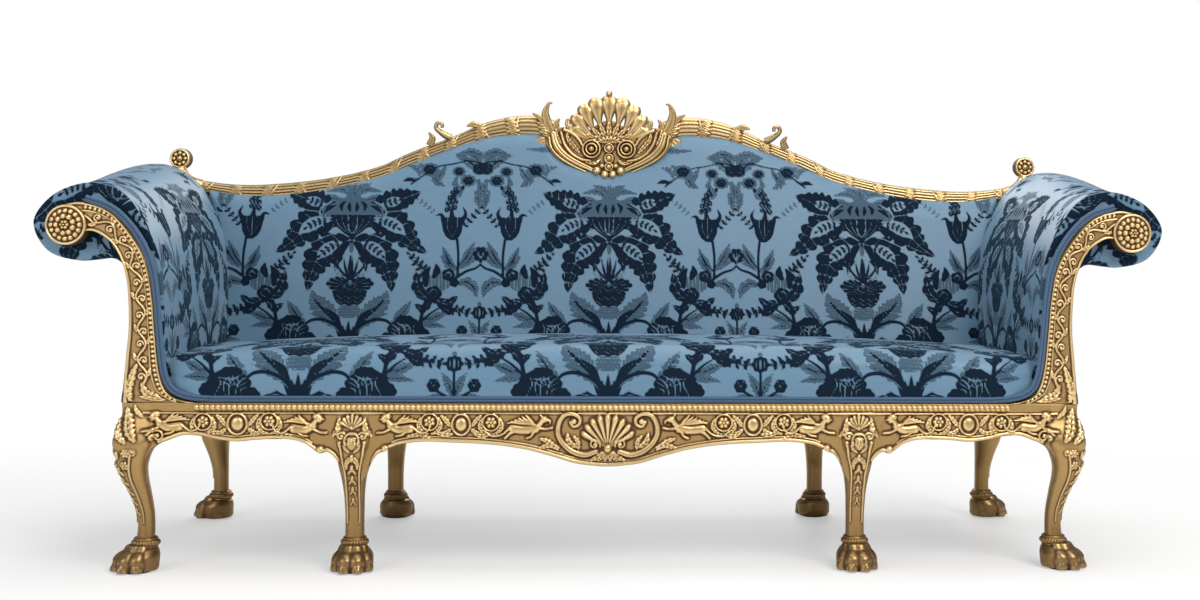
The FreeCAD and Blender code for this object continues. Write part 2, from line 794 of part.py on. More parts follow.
armBottom = railTop + softGap
for sideName, side in sides:
    outer = armSolid(side, 0, armStart, armBottom)
    hollow = armSolid(side, coverThick, armStart + coverThick, armBottom - 5)
    lowerX = side * (armOuter - coverThick - 2 * softGap - size("armRailThick"))
    lowerOut = side * (armOuter - coverThick - 2 * softGap)
    lowerLow = railTop + size("armRailLift")
    lowerHigh = lowerLow + size("armRailHigh")
    frameFront = backAxis - boardHalf
    lowerRail = box(lowerX, lowerOut, facingRear, frameFront, lowerLow, lowerHigh)
    feature("arm_lower_rail_" + sideName, lowerRail)

    barFront = Vector(side * (roundelX - 4), facingRear, size("roundelZ") + 1)
    barBack = rakePlacement.multVec(Vector(side * stumpX, frameFront, size("stumpZ") + crestLift))
    barWay = barBack - barFront
    barFoot = barFront - barWay * 0.1
    bar = facetedTaper(barFoot, barWay, barWay.Length * 1.2, size("armBarRadius"), size("armBarRadius"), 12)
    trimFront = box(-1300, 1300, facingRear - 200, facingRear, 100, 1300)
    trimBack = leaning(box(-1300, 1300, frameFront, backAxis + 300, 100, 1300))
    bar = bar.cut([trimFront, trimBack])
    feature("arm_top_rail_" + sideName, bar)

    filling = armSolid(side, coverThick + softGap, armStart + coverThick + softGap, armBottom)
    roomRadius = size("armBarRadius") + softGap
    barRoom = facetedTaper(barFoot, barWay, barWay.Length * 1.2, roomRadius, roomRadius, 12)
    railRoom = box(lowerX - side * softGap, lowerOut + side * 5, facingRear - 5, frameFront + 60,
                   lowerLow - softGap, lowerHigh + softGap)
    stuffing = filling.cut([barRoom, railRoom])
    feature("arm_stuffing_" + sideName, largest(stuffing))
    feature("arm_cover_" + sideName, largest(outer.cut([hollow, barRoom, railRoom])))

# Seat: webbing, hessian, hair and its cover

seatFrontY = frontFace + size("seatFront")
seatRearY = size("seatRear") - 275 + backAxis
webZ = railTop
hessianZ = railTop + 2 * size("webThick") + softGap
stuffingZ = hessianZ + size("clothThick") + softGap
seatStations = ((0, 40), (4, 25), (14, 11), (32, 2), (65, 0), (260, 4), (None, 15))
seatProfile = ((0, 0), (0.62, 8), (0.8, 20), (0.94, 42), (1, 60))
seatFacets = 17


def armInnerAt(depth):
    share = (depth - armStart) / armSpan
    return armInnerFront + (armInnerBack - armInnerFront) * min(share, 1.0)


def seatRing(depth, drop, inset, bottom):
    half = armInnerAt(depth) - softGap - inset
    top = size("seatCrown") - drop - inset
    right = [Vector(half * share, depth, top - fall * (1 - drop / 120)) for share, fall in seatProfile]
    left = [Vector(-point.x, depth, point.z) for point in reversed(right[1:])]
    crown = spline(left + right).discretize(seatFacets)
    return crown + [Vector(half, depth, bottom), Vector(-half, depth, bottom)]


def seatSolid(inset, bottom):
    rings = []
    for step, drop in seatStations:
        depth = (seatRearY - inset) if step is None else seatFrontY + inset + step
        rings.append(seatRing(depth, drop, inset, bottom))
    return facetedLoft(rings)


def gussetRoom(side, grow):
    """The facing's own outline drawn through the seat's front corner, moved in by a gap."""
    room = prism(upright(facingCurves(side), facingRear + grow), Vector(0, -60, 0))
    room.translate(Vector(-side * grow, 0, 0))
    return room


seatOuter = seatSolid(0, hessianZ)
seatHollow = seatSolid(coverThick, hessianZ - 5)
gussets = [gussetRoom(side, softGap) for sideName, side in sides]
feature("seat_cover", seatOuter.cut(seatHollow).cut(gussets))
seatFilling = seatSolid(coverThick + softGap, stuffingZ)
feature("seat_stuffing", seatFilling.cut([gussetRoom(side, 2 * softGap + coverThick) for sideName, side in sides]))

webFront = frontFace + 14
webBack = backFace - railThick + 14
webs = []
half = size("webWide") / 2
clearOfBlock = halfInnerBlock + half + 8
webPlaces = along(-innerLegX + clearOfBlock, innerLegX - clearOfBlock, 7)
outerPlaces = along(innerLegX + clearOfBlock, facingInner[0][0] - half - 6, 3)
for x in webPlaces + outerPlaces + [-x for x in outerPlaces]:
    webs.append(box(x - half, x + half, webFront, webBack, webZ, webZ + size("webThick")))
for share in (0.2, 0.4, 0.6):
    y = webFront + (webBack - webFront) * share + 20
    webs.append(box(-legX + 52, legX - 52, y - size("webWide") / 2, y + size("webWide") / 2,
                    webZ + size("webThick"), webZ + 2 * size("webThick")))
feature("seat_webbing", Part.makeCompound(webs))
hessianHalf = armInnerFront - 12
feature("seat_hessian", box(-hessianHalf, hessianHalf, facingRear + 4, seatRearY - 4,
                            hessianZ, hessianZ + size("clothThick")))

# Back upholstery: a wedge of hair between webbing and cover

webFace = backAxis - boardHalf
paddingRear = webFace - size("webThick") - softGap
backLow = armBottom + 2 * size("webThick") + 2


def wedge(inset, rear):
    """Side section of the back's padding, drawn in the raked frame and carried across."""
    bottomFace = paddingRear - size("backBottomThick")
    topFace = paddingRear - size("backTopThick")
    top = 960 + crestLift
    middle = 620 + crestLift
    face = [Vector(0, bottomFace + inset, backLow + 100),
            Vector(0, paddingRear - size("backBottomThick") * 0.66 + inset, middle),
            Vector(0, topFace + inset, top)]
    curves = bend(face, 6) + polyline([face[-1], Vector(0, rear, top), Vector(0, rear, backLow),
                                       Vector(0, bottomFace + inset, backLow), face[0]])
    shape = prism(curves, Vector(2400, 0, 0))
    shape.translate(Vector(-1200, 0, 0))
    return leaning(shape)


def backWindow(shrink):
    """The back's outline: between the arms' inner faces, under the crest."""
    right = [Vector(point.x - shrink, 0, point.y) for point in armOutline(1.0, 0)[:9]]
    left = [Vector(-point.x, 0, point.z) for point in reversed(right)]
    roof = [Vector(right[-1].x, 0, 1100), Vector(left[0].x, 0, 1100)]
    floor = [Vector(left[-1].x, 0, backLow - 20), Vector(right[0].x, 0, backLow - 20)]
    window = prism(polyline(right + roof + left + floor + right[:1]), Vector(0, 900, 0))
    window.translate(Vector(0, -200, 0))
    return window


def underCrest(drop):
    """A raked block whose top edge follows the crest's lower line."""
    start = (mouldingLine[0][0], backLow - 30)
    end = (-start[0], start[1])
    curves = underCrestCurves(drop, polyline(flat([start, end])), start, end)
    return leaning(prism(upright(curves, backAxis + 200), Vector(0, -600, 0)))


seatRoom = box(-1000, 1000, frontFace, seatRearY + softGap, 0, size("seatCrown") - 14)
room = backWindow(softGap).common(underCrest(softGap))
backFilling = wedge(coverThick + softGap, paddingRear).common(room).cut(seatRoom)
backSkin = wedge(0, paddingRear).cut(wedge(coverThick, paddingRear + 5)).common(room).cut(seatRoom)

backWebs = []
webTop = 720 + crestLift
for x in (-740, -620, -360, -240, -120, 0, 120, 240, 360, 620, 740):
    low = tackingLow + 8
    backWebs.append(box(x - 25, x + 25, webFace - size("webThick"), webFace, low, webTop))
feature("back_webbing", Part.makeCompound(backWebs), rakePlacement)

outsideOuter = [(x - 3, z + crestLift * (z > 400)) for x, z in postOuter[:5]]
outsideOuter[0] = (outsideOuter[0][0], railTop + 4)
outsideTop = [(x * 0.985, z - 6) for x, z in acrossMiddle(mouldingLine + topRailHalf[1:])]
leftEdge = [(-x, z) for x, z in outsideOuter]
outsideCurves = bend(flat(outsideOuter)) + polyline(flat(outsideTop)) + bend(flat(leftEdge))
outsideCurves += polyline(flat([outsideOuter[-1], outsideTop[0]]))
outsideCurves += polyline(flat([leftEdge[-1], outsideTop[-1]]))
outsideCurves += polyline(flat([leftEdge[0], outsideOuter[0]]))
outside = prism(upright(outsideCurves, backAxis + boardHalf + size("clothThick")),
                Vector(0, -size("clothThick"), 0))
feature("outside_back_cover", outside, rakePlacement)

dustHalf = outerFace - railThick - fitGap
dust = box(-dustHalf, dustHalf, frontFace + railThick + fitGap, backFace - railThick - fitGap,
           railTop - size("crossRailDrop") - size("crossRailHigh") - size("clothThick"),
           railTop - size("crossRailDrop") - size("crossRailHigh"))
legRoom = []
for sideName, side in sides:
    for axisY, blockY in ((frontAxis, innerBlockFront), (backAxis, innerBlockBack)):
        grow = halfBlock + 14
        legRoom.append(box(side * legX - grow, side * legX + grow, axisY - grow, axisY + grow, 200, 400))
        grow = halfInnerBlock + 8
        legRoom.append(box(side * innerLegX - grow, side * innerLegX + grow, blockY - grow, blockY + grow, 200, 400))
feature("bottom_cloth", dust.cut(legRoom))

# Crest: mouldings, acanthus arches, rosettes, cartouche, shell and leaves


def mouldingShape(side):
    """A rounded moulding carried along the crest's line, its flat foot on the top rail."""
    deep = size("mouldingDeep") / 2
    high = size("mouldingHigh")
    section = ((-1, 0), (1, 0), (1, 0.5), (0.6, 0.9), (0, 1), (-0.6, 0.9), (-1, 0.5))
    return facetedLoft([[Vector(side * x, backAxis + deep * y, z + high * rise) for y, rise in section]
                        for x, z in mouldingLine])


archStations = ((-1, 855, 0.36), (-52, 877, 0.72), (-95, 896, 0.92), (-138, 908, 1), (-195, 915, 1.02),
                (-240, 906, 0.95), (-268, 880, 0.8), (-282, 852, 0.6))


def archShape(side):
    """The acanthus arch: oval sections along a rising and falling curve to its scroll."""
    centres = [(size("archStart") + x, z + crestLift, share) for x, z, share in archStations]
    line = [Vector(side * x, backAxis, z) for x, z, share in centres]
    rings = []
    for index, point in enumerate(line):
        before = line[max(index - 1, 0)]
        after = line[min(index + 1, len(line) - 1)]
        way = after - before
        way.normalize()
        upwards = Vector(0, 1, 0).cross(way)
        share = centres[index][2]
        ring = []
        for step in range(10):
            angle = 2 * math.pi * (step + 0.5) / 10
            ring.append(point + Vector(0, 1, 0) * (size("archDeep") / 2 * share * math.cos(angle))
                        + upwards * (size("archHigh") / 2 * share * math.sin(angle)))
        rings.append(ring)
    return facetedLoft(rings)


railLow = size("topRailHigh")
lowStart = (mouldingLine[0][0], mouldingLine[0][1] - railLow)
topRailCurves = underCrestCurves(0, crestEdge(railLow), lowStart, (-lowStart[0], lowStart[1]))
topRailRoom = prism(upright(topRailCurves, backAxis + boardHalf), Vector(0, -2 * boardHalf, 0))

mouldings = {}
arches = {}
for sideName, side in sides:
    mouldings[side] = mouldingShape(side)
    arches[side] = largest(archShape(side).cut([mouldings[side], topRailRoom]))
    feature("crest_moulding_" + sideName, mouldings[side], rakePlacement)

topRail = outlineBody("back_top_rail", topRailCurves, "backBoard", None)
topRail.Placement = rakePlacement.multiply(FreeCAD.Placement(Vector(0, backAxis, 0), FreeCAD.Rotation()))

rosetteZ = size("rosetteZ") + crestLift
radius = size("rosetteRadius")
for sideName, side in sides:
    centre = Vector(side * rosetteX, backAxis - size("rosetteDeep") / 2, rosetteZ)
    drum = facetedTaper(centre, Vector(0, 1, 0), size("rosetteDeep"), radius, radius, 16)
    boss = facetedTaper(centre, Vector(0, -1, 0), 7, radius * 0.72, radius * 0.3)
    start = Vector(side * (crestEnd - 16), backAxis, crestHeight(crestEnd) + 15)
    aim = Vector(side * (rosetteX - 10), backAxis, rosetteZ - 10)
    stem = facetedTaper(start, aim - start, (aim - start).Length, 14, 10)
    rosette = drum.fuse([boss, stem]).cut(mouldings[side])
    feature("crest_rosette_" + sideName, largest(rosette), rakePlacement)

cartoucheLower = ((146, 872), (129, 848), (103, 829), (65, 814), (34, 806), (0, 792))
cartoucheUpper = ((138, 892), (110, 890), (84, 900), (52, 915), (0, 922))
cartoucheRear = backAxis - boardHalf - fitGap
carvedFront = cartoucheRear - size("cartoucheThick")


def mirrored(points):
    return list(points) + [(-x, z) for x, z in reversed(points[:-1])]


def liftPoints(points):
    return [(x, z + crestLift) for x, z in points]


def cartoucheShape():
    """The carved plate below the shell, with a volute on each side and a pendant."""
    outline = bandCurves(liftPoints(mirrored(cartoucheUpper)), liftPoints(mirrored(cartoucheLower)))
    plate = prism(upright(outline, cartoucheRear), Vector(0, -size("cartoucheThick"), 0))
    volutes = [facetedTaper(Vector(side * size("voluteX"), carvedFront + 1, size("voluteZ") + crestLift),
                            Vector(0, -1, 0), size("voluteThick"), size("voluteRadius"), size("voluteRadius") * 0.8, 14)
               for sideName, side in sides]
    pendant = facetedTaper(Vector(0, carvedFront, 806 + crestLift), Vector(0, -1, 0), 8, 12, 5)
    return plate.fuse(volutes + [pendant])


shellSpread = math.radians(76)
shellRibs = 9


def shellReach(angle):
    """How far the shell's ribs run at an angle from upright: the side ribs are shorter."""
    return (size("shellRadius") - size("shellRibRadius")) * (1 - 0.16 * (angle / shellSpread) ** 2)


def shellShape():
    """A pierced scallop: a fan plate, tapered ribs with rounded tips, and slots between the ribs."""
    rib = size("shellRibRadius")
    foot = Vector(0, cartoucheRear - size("shellThick"), size("shellFoot") + crestLift)
    ribs = []
    slots = []
    for index in range(shellRibs):
        angle = shellSpread * (2 * index / (shellRibs - 1) - 1)
        aim = Vector(math.sin(angle), 0, math.cos(angle))
        reach = shellReach(angle)
        ribs.append(facetedTaper(foot, aim, reach, 4, rib, 8))
        ribs.append(facetedTaper(foot + aim * reach, aim, rib * 0.6, rib, rib * 0.75, 8))
        ribs.append(facetedTaper(foot + aim * (reach + rib * 0.6), aim, rib * 0.4, rib * 0.75, rib * 0.3, 8))
        if index < shellRibs - 1:
            between = angle + shellSpread / (shellRibs - 1)
            way = Vector(math.sin(between), 0, math.cos(between))
            slot = Part.makeBox(size("slotWide"), 80, shellReach(between) * 0.26,
                                Vector(-size("slotWide") / 2, -40, 0))
            turn = FreeCAD.Rotation(Vector(0, 1, 0), math.degrees(between))
            slot.Placement = FreeCAD.Placement(foot + way * (shellReach(between) * 0.62), turn)
            slots.append(slot)
    edge = []
    for step in range(shellRibs * 2 - 1):
        angle = shellSpread * (step / (shellRibs - 1) - 1)
        edge.append(foot + Vector(math.sin(angle), 0, math.cos(angle)) * (shellReach(angle) + rib * 0.3))
    plate = prism(polyline(edge + [foot, edge[0]]), Vector(0, size("shellThick"), 0))
    behind = box(-300, 300, cartoucheRear, cartoucheRear + 100, 600, 1300)
    return largest(plate.fuse(ribs).cut(slots + [behind]))


shell = shellShape()
cartouche = largest(cartoucheShape().cut([shell, arches[-1], arches[1]]))
for sideName, side in sides:
    arches[side] = largest(arches[side].cut(shell))
    feature("crest_arch_" + sideName, arches[side], rakePlacement)
feature("crest_cartouche", cartouche, rakePlacement)
feature("crest_shell", shell, rakePlacement)


def leafShape(side, foot, tip, bulge, wide, thick=16):
    """A curling leaf: two bent edges between foot and tip, bowed to one side."""
    low = Vector(side * foot[0], backAxis + thick / 2, foot[1] + crestLift)
    high = Vector(side * tip[0], backAxis + thick / 2, tip[1] + crestLift)
    middle = (low + high) * 0.5
    inner = middle + Vector(side * (bulge - wide / 2), 0, 0)
    outer = middle + Vector(side * (bulge + wide / 2), 0, 0)
    return prism(bend([low, inner, high], 5) + bend([high, outer, low], 5), Vector(0, -thick, 0))


leaves = []
solidCrest = [mouldings[-1], mouldings[1], arches[-1], arches[1], shell, cartouche]
for sideName, side in sides:
    curl = facetedTaper(Vector(side * 404, backAxis - 13, 902 + crestLift), Vector(0, 1, 0), 26, 13, 13, 12)
    leaves.append(curl.fuse(leafShape(side, (380, 872), (408, 906), 6, 20)))
    leaves.append(leafShape(side, (150, 915), (142, 974), 8, 20))
feature("crest_leaves", Part.makeCompound([largest(leaf.cut(solidCrest)) for leaf in leaves]), rakePlacement)

carving = [leaning(item) for item in (cartouche, shell)]
feature("back_stuffing", largest(backFilling.cut(carving)))
feature("back_cover", largest(backSkin.cut(carving)))

# Bead moulding along the rail's top, and the woven gimp

beadTop = railTop - size("beadDrop")
beadHalf = size("beadHigh") / 2
beadEnd = facingInner[0][0]
beadCurves = [Part.LineSegment(Vector(0, frontFace, beadTop), Vector(0, frontFace, beadTop - 2 * beadHalf)),
              Part.Arc(Vector(0, frontFace, beadTop - 2 * beadHalf),
                       Vector(0, frontFace - size("beadThick"), beadTop - beadHalf),
                       Vector(0, frontFace, beadTop))]
bead = prism(beadCurves, Vector(2 * beadEnd, 0, 0))
bead.translate(Vector(-beadEnd, 0, 0))
feature("front_bead_moulding", bead)

gimpPieces = [box(-beadEnd + 30, beadEnd - 30, frontFace, frontFace + size("seatFront") - softGap,
                  railTop + 1, railTop + 1 + size("gimpWide"))]
for sideName, side in sides:
    edge = [(x - softGap, z) for x, z in facingInner[3:9]]
    gimpOuter = flat(atSide(edge, side))
    gimpInner = flat(atSide([(x - size("gimpWide") * 0.9, z + 3) for x, z in edge], side))
    curves = upright(bend(gimpOuter) + [Part.LineSegment(gimpOuter[-1], gimpInner[-1])] + bend(gimpInner)
                     + [Part.LineSegment(gimpInner[0], gimpOuter[0])], armStart)
    strip = prism(curves, Vector(0, -size("gimpThick"), 0))
    facing = prism(upright(facingCurves(side), facingRear), Vector(0, -60, 0))
    gimpPieces.append(largest(strip.cut([facing, seatOuter])))
feature("gimp", Part.makeCompound(gimpPieces))

# Check every object and write each sub-part

doc.recompute()
subParts = [item for item in doc.Objects
            if item.isDerivedFrom("PartDesign::Body") or item.TypeId in ("Part::Feature", "Part::Box")]
for item in doc.Objects:
    if "Invalid" in item.State or "Error" in item.State:
        raise RuntimeError("failed: " + item.Label)
for item in subParts:
    if item.Shape.isNull() or not item.Shape.isValid():
        raise RuntimeError("bad shape: " + item.Label)

os.makedirs("parts", exist_ok=True)
for item in subParts:
    item.Shape.exportStep("parts/" + item.Label + ".step")
print(len(subParts), "sub-parts written")
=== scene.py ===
import bpy
import json
import math
import numpy as np
from mathutils import Matrix, Vector


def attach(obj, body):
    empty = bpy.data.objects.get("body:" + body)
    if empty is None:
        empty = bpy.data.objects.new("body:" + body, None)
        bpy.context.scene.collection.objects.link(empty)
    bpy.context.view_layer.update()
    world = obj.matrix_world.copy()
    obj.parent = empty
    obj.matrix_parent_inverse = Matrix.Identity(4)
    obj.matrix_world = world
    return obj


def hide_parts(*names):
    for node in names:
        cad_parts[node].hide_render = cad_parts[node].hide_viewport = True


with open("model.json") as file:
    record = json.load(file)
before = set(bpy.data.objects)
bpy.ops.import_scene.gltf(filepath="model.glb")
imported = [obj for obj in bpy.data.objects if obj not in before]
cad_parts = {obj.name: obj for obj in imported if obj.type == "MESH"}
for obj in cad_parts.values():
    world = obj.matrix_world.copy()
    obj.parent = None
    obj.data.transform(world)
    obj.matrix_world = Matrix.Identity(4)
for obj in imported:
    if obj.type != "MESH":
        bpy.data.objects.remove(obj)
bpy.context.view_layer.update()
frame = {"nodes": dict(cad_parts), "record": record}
mm = 0.001  # the shapes below are worked out in millimetres

# a small toolbox: lines, grids and meshes


def flowLine(points, per=7):
    # a smooth line through the points: each span mixes four neighbours with cubic weights
    p = np.asarray(points, float)
    if len(p) < 3:
        return p
    q = np.vstack([2 * p[0] - p[1], p, 2 * p[-1] - p[-2]])
    a, b, c, d = (q[i:len(q) - 3 + i][:, None] for i in range(4))
    t = np.linspace(0, 1, per, endpoint=False)[None, :, None]
    body = 0.5 * (2 * b + (c - a) * t + (2 * a - 5 * b + 4 * c - d) * t ** 2
                  + (3 * b - a - 3 * c + d) * t ** 3)
    return np.vstack([body.reshape(-1, p.shape[1]), p[-1:]])


def mirrored(line):
    # the other half of a line that starts on the middle, then the line itself
    return [(-x, z) for x, z in line[:0:-1]] + line


def evenLine(points, count, per=7):
    # the smooth line again, at equal steps of its length
    line = flowLine(points, per)
    run = np.concatenate([[0], np.cumsum(np.linalg.norm(np.diff(line, axis=0), axis=1))])
    at = np.linspace(0, run[-1], count)
    return np.stack([np.interp(at, run, line[:, k]) for k in range(line.shape[1])], axis=1), run[-1]


def nearest(x, y, line):
    # distance from each point to a line of straight bits, its share of the length, and that length
    a, b = line[:-1], line[1:]
    step = b - a
    size = np.maximum(np.hypot(step[:, 0], step[:, 1]), 1e-6)
    start = np.concatenate([[0], np.cumsum(size)[:-1]])
    px, py = x[:, None] - a[:, 0], y[:, None] - a[:, 1]
    t = np.clip((px * step[:, 0] + py * step[:, 1]) / size ** 2, 0, 1)
    gap = (px - t * step[:, 0]) ** 2 + (py - t * step[:, 1]) ** 2
    best = np.argmin(gap, axis=1)
    row = np.arange(len(x))
    return np.sqrt(gap[row, best]), (start[best] + t[row, best] * size[best]) / size.sum(), size.sum()


def spread(share, stops):
    # values given at equal steps, read at a share of the way
    return np.interp(share, np.linspace(0, 1, np.size(stops)), np.atleast_1d(stops))


def joined(*parts):
    # coordinates side by side, each stretched to the size of the others
    return np.stack(np.broadcast_arrays(*parts), axis=-1)


def smoothStep(low, high, value):
    t = np.clip((value - low) / (high - low), 0, 1)
    return t * t * (3 - 2 * t)


def gridFaces(rows, cols, closeCols):
    # quads between neighbouring rows and columns of a grid, joined round where it closes
    r, c = np.meshgrid(np.arange(rows - 1), np.arange(cols if closeCols else cols - 1), indexing="ij")
    r, c2 = r * cols, (c + 1) % cols
    return np.stack([r + c, r + c2, r + cols + c2, r + cols + c], axis=-1).reshape(-1, 4)


class Shape:
    # gathers grids into one mesh, with named values at its points
    def __init__(self):
        self.points, self.faces, self.corners, self.values, self.count = [], [], [], {}, 0

    def grid(self, points, closeCols=False, caps=False, flip=False, **values):
        rows, cols = points.shape[:2]
        faces = gridFaces(rows, cols, closeCols) + self.count
        self.faces.append(faces[:, ::-1] if flip else faces)
        full = {key: np.broadcast_to(value, (rows, cols) + np.shape(value)[2:]) for key,
                value in values.items()}
        block = [points.reshape(-1, 3)]
        carried = {key: [value.reshape(rows * cols, -1)] for key, value in full.items()}
        for extra, end in enumerate((0, -1) if caps else ()):
            # a fan from the middle of the end row
            ring = np.arange(cols) + self.count - end * (rows - 1) * cols
            block.append(points[end].mean(axis=0)[None])
            for key, value in full.items():
                carried[key].append(value[end].mean(axis=0).reshape(1, -1))
            fan = np.stack([ring, np.roll(ring, -1), np.full(cols, self.count + rows * cols + extra)],
                           axis=1)
            self.corners.append(fan[:, ::-1] if (end == 0) != flip else fan)
        self.points.append(np.vstack(block))
        for key, parts in carried.items():
            self.values.setdefault(key, []).append((self.count, np.vstack(parts)))
        self.count += rows * cols + 2 * caps
        return self

    def tube(self, points, **values):
        # a grid whose columns close on themselves, with both its ends filled
        return self.grid(points, closeCols=True, caps=True, **values)

    def piece(self, name, finish, slot, stands=(), inward=False):
        points = np.vstack(self.points) * mm
        quads = np.vstack(self.faces)
        corners = np.vstack(self.corners + [np.zeros((0, 3), int)])
        mesh = bpy.data.meshes.new(name)
        mesh.vertices.add(len(points))
        mesh.vertices.foreach_set("co", points.ravel())
        sizes = np.concatenate([np.full(len(quads), 4), np.full(len(corners), 3)])
        mesh.loops.add(int(sizes.sum()))
        mesh.loops.foreach_set("vertex_index", np.concatenate([quads.ravel(), corners.ravel()]))
        mesh.polygons.add(len(sizes))
        mesh.polygons.foreach_set("loop_start", np.concatenate([[0], np.cumsum(sizes)[:-1]]))
        mesh.polygons.foreach_set("loop_total", sizes)
        mesh.polygons.foreach_set("use_smooth", np.ones(len(sizes), bool))
        for key, parts in self.values.items():
            width = parts[0][1].shape[1]
            kind, field = ("FLOAT_VECTOR", "vector") if width == 3 else ("FLOAT", "value")
            full = np.zeros((len(points), width))
            for start, part in parts:
                full[start:start + len(part)] = part
            mesh.attributes.new(key, kind, "POINT").data.foreach_set(field, full.ravel())
        mesh.update()
        mesh.validate()
        if inward:
            mesh.flip_normals()
        thing = bpy.data.objects.new(name, mesh)
        bpy.context.scene.collection.objects.link(thing)
        mesh.materials.append(finish)
        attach(thing, "root")
        if stands:
            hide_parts(*stands)
        return thing


def creviceOf(high, reach=3, closeCols=False):
    # how far each point lies under the mean of its neighbours, where painted shade and the gilt's toning
    # are laid
    total = np.zeros_like(high)
    wide = np.pad(high, reach, mode="edge")
    if closeCols:
        wide[reach:-reach, :reach] = high[:, -reach:]
        wide[reach:-reach, -reach:] = high[:, :reach]
    for i in range(2 * reach + 1):
        for j in range(2 * reach + 1):
            total += wide[i:i + high.shape[0], j:j + high.shape[1]]
    return total / (2 * reach + 1) ** 2 - high


# carving: ornament drawn as heights over a flat face


class Carving:
    def __init__(self, x, y):
        self.x, self.y = np.ravel(x).astype(float), np.ravel(y).astype(float)
        self.shape = np.shape(x)
        self.high = np.zeros(self.x.shape)

    def placed(self, x, y, way=1):
        # the same heights measured from a motif's own middle, facing the other way at -1
        other = Carving((self.x - x) * way, self.y - y)
        other.high = self.high
        return other

    def halves(self):
        return self.placed(0, 0, -1), self.placed(0, 0)

    def heights(self):
        return self.high.reshape(self.shape)

    def around(self, low, high, margin=0.0):
        return np.flatnonzero((self.x > low[0] - margin) & (self.x < high[0] + margin)
                              & (self.y > low[1] - margin) & (self.y < high[1] + margin))

    def along(self, points, margin):
        # the places near a smooth line, their distances from it, shares of its length, and the length
        line = flowLine(points)
        where = self.around(line.min(axis=0), line.max(axis=0), margin)
        return where, *nearest(self.x[where], self.y[where], line)

    def raiseTo(self, where, high):
        self.high[where] = np.maximum(self.high[where], high)

    def stem(self, points, width, high, ridge=0.0):
        # rounded bar: height x root of one less the squared share of the half width
        where, gap, share, run = self.along(points, np.max(width))
        half = spread(share, width)
        body = np.sqrt(np.clip(1 - (gap / half) ** 2, 0, 1))
        body = body * (1 - ridge * np.exp(-(gap / (0.22 * half + 0.2)) ** 2))
        self.raiseTo(where, spread(share, high) * body)

    def leaf(self, points, width, high, lobes=5):
        # acanthus: width swells and is cut into lobes, a groove runs up its middle, and ribs fan off it
        where, gap, share, run = self.along(points, width)
        swell = np.sin(np.pi * np.clip(share * 0.86 + 0.1, 0, 1)) ** 0.7
        notch = 0.66 + 0.34 * np.abs(np.sin(np.pi * (lobes * share - 0.28 * gap / width)))
        half = np.maximum(width * swell * notch, 0.3)
        rib = 1 - 0.3 * np.abs(np.cos(np.pi * (lobes * share - 0.9 * gap / width)))
        body = np.clip(1 - (gap / half) ** 2, 0, 1) ** 0.45
        self.raiseTo(where, high * body * rib * (1 - 0.35 * np.exp(-(gap / 1.1) ** 2)))

    def dome(self, x, y, wide, tall, high, turn=0.0, power=0.5):
        where = self.around((x - wide - tall, y - wide - tall), (x + wide + tall, y + wide + tall))
        c, s = math.cos(turn), math.sin(turn)
        dx, dy = self.x[where] - x, self.y[where] - y
        share = ((dx * c + dy * s) / wide) ** 2 + ((dy * c - dx * s) / tall) ** 2
        self.raiseTo(where, high * np.clip(1 - share, 0, 1) ** power)

    def ring(self, x, y, wide, tall, band, high):
        # an oval moulding: rounded across its band
        where = self.around((x - wide - band, y - tall - band), (x + wide + band, y + tall + band))
        dx, dy = self.x[where] - x, self.y[where] - y
        reach = np.hypot(dx / wide, dy / tall)
        gap = np.abs(reach - 1) * min(wide, tall)
        self.raiseTo(where, high * np.sqrt(np.clip(1 - (gap / band) ** 2, 0, 1)))

    def beads(self, points, pitch, radius, high):
        # half balls threaded on a line at an even pitch
        where, gap, share, run = self.along(points, radius)
        count = max(1, round(run / pitch))
        off = (np.mod(share * count, 1) - 0.5) * run / count
        self.raiseTo(where, high * np.sqrt(np.clip(1 - (gap ** 2 + off ** 2) / radius ** 2, 0, 1)))

    def scroll(self, x, y, radius, start, hand, turns=1.4, width=2.2, high=5.0, eye=0.28):
        # a stem wound inward: its radius shrinks with the angle, and it ends in a round eye
        t = np.linspace(0, 1, int(14 * turns) + 4)
        angle = math.radians(start) + hand * 2 * math.pi * turns * t
        reach = radius * (1 - t * (1 - eye))
        line = np.stack([x + reach * np.cos(angle), y + reach * np.sin(angle)], axis=1)
        self.stem(line, [width, width * 0.75], [high, high * 0.9])
        self.dome(x, y, radius * eye * 1.25, radius * eye * 1.25, high * 1.15)

    def rosette(self, x, y, radius, high, petals=5, turn=0.0):
        # petals as bumps of the angle on a dome, round a centre boss
        where = self.around((x - radius, y - radius), (x + radius, y + radius))
        dx, dy = self.x[where] - x, self.y[where] - y
        reach = np.hypot(dx, dy) / radius
        lobe = np.abs(np.cos(petals * (np.arctan2(dy, dx) - turn) / 2)) ** 0.6
        edge = 0.72 + 0.28 * lobe
        cup = np.clip(1 - (reach / edge) ** 2, 0, 1) ** 0.4 * (0.45
                                                               + 0.55 * lobe * smoothStep(0.1, 0.6, reach))
        self.raiseTo(where, high * cup)
        self.dome(x, y, radius * 0.27, radius * 0.27, high * 1.1)

    def circle(self, count, ring, radius, high, turn=0.0):
        # bosses at even steps round a ring
        for k in range(count):
            angle = 2 * math.pi * (k + turn) / count
            self.dome(ring * math.cos(angle), ring * math.sin(angle), radius, radius, high)

    def shell(self, x, y, radius, spreading, ribs, high):
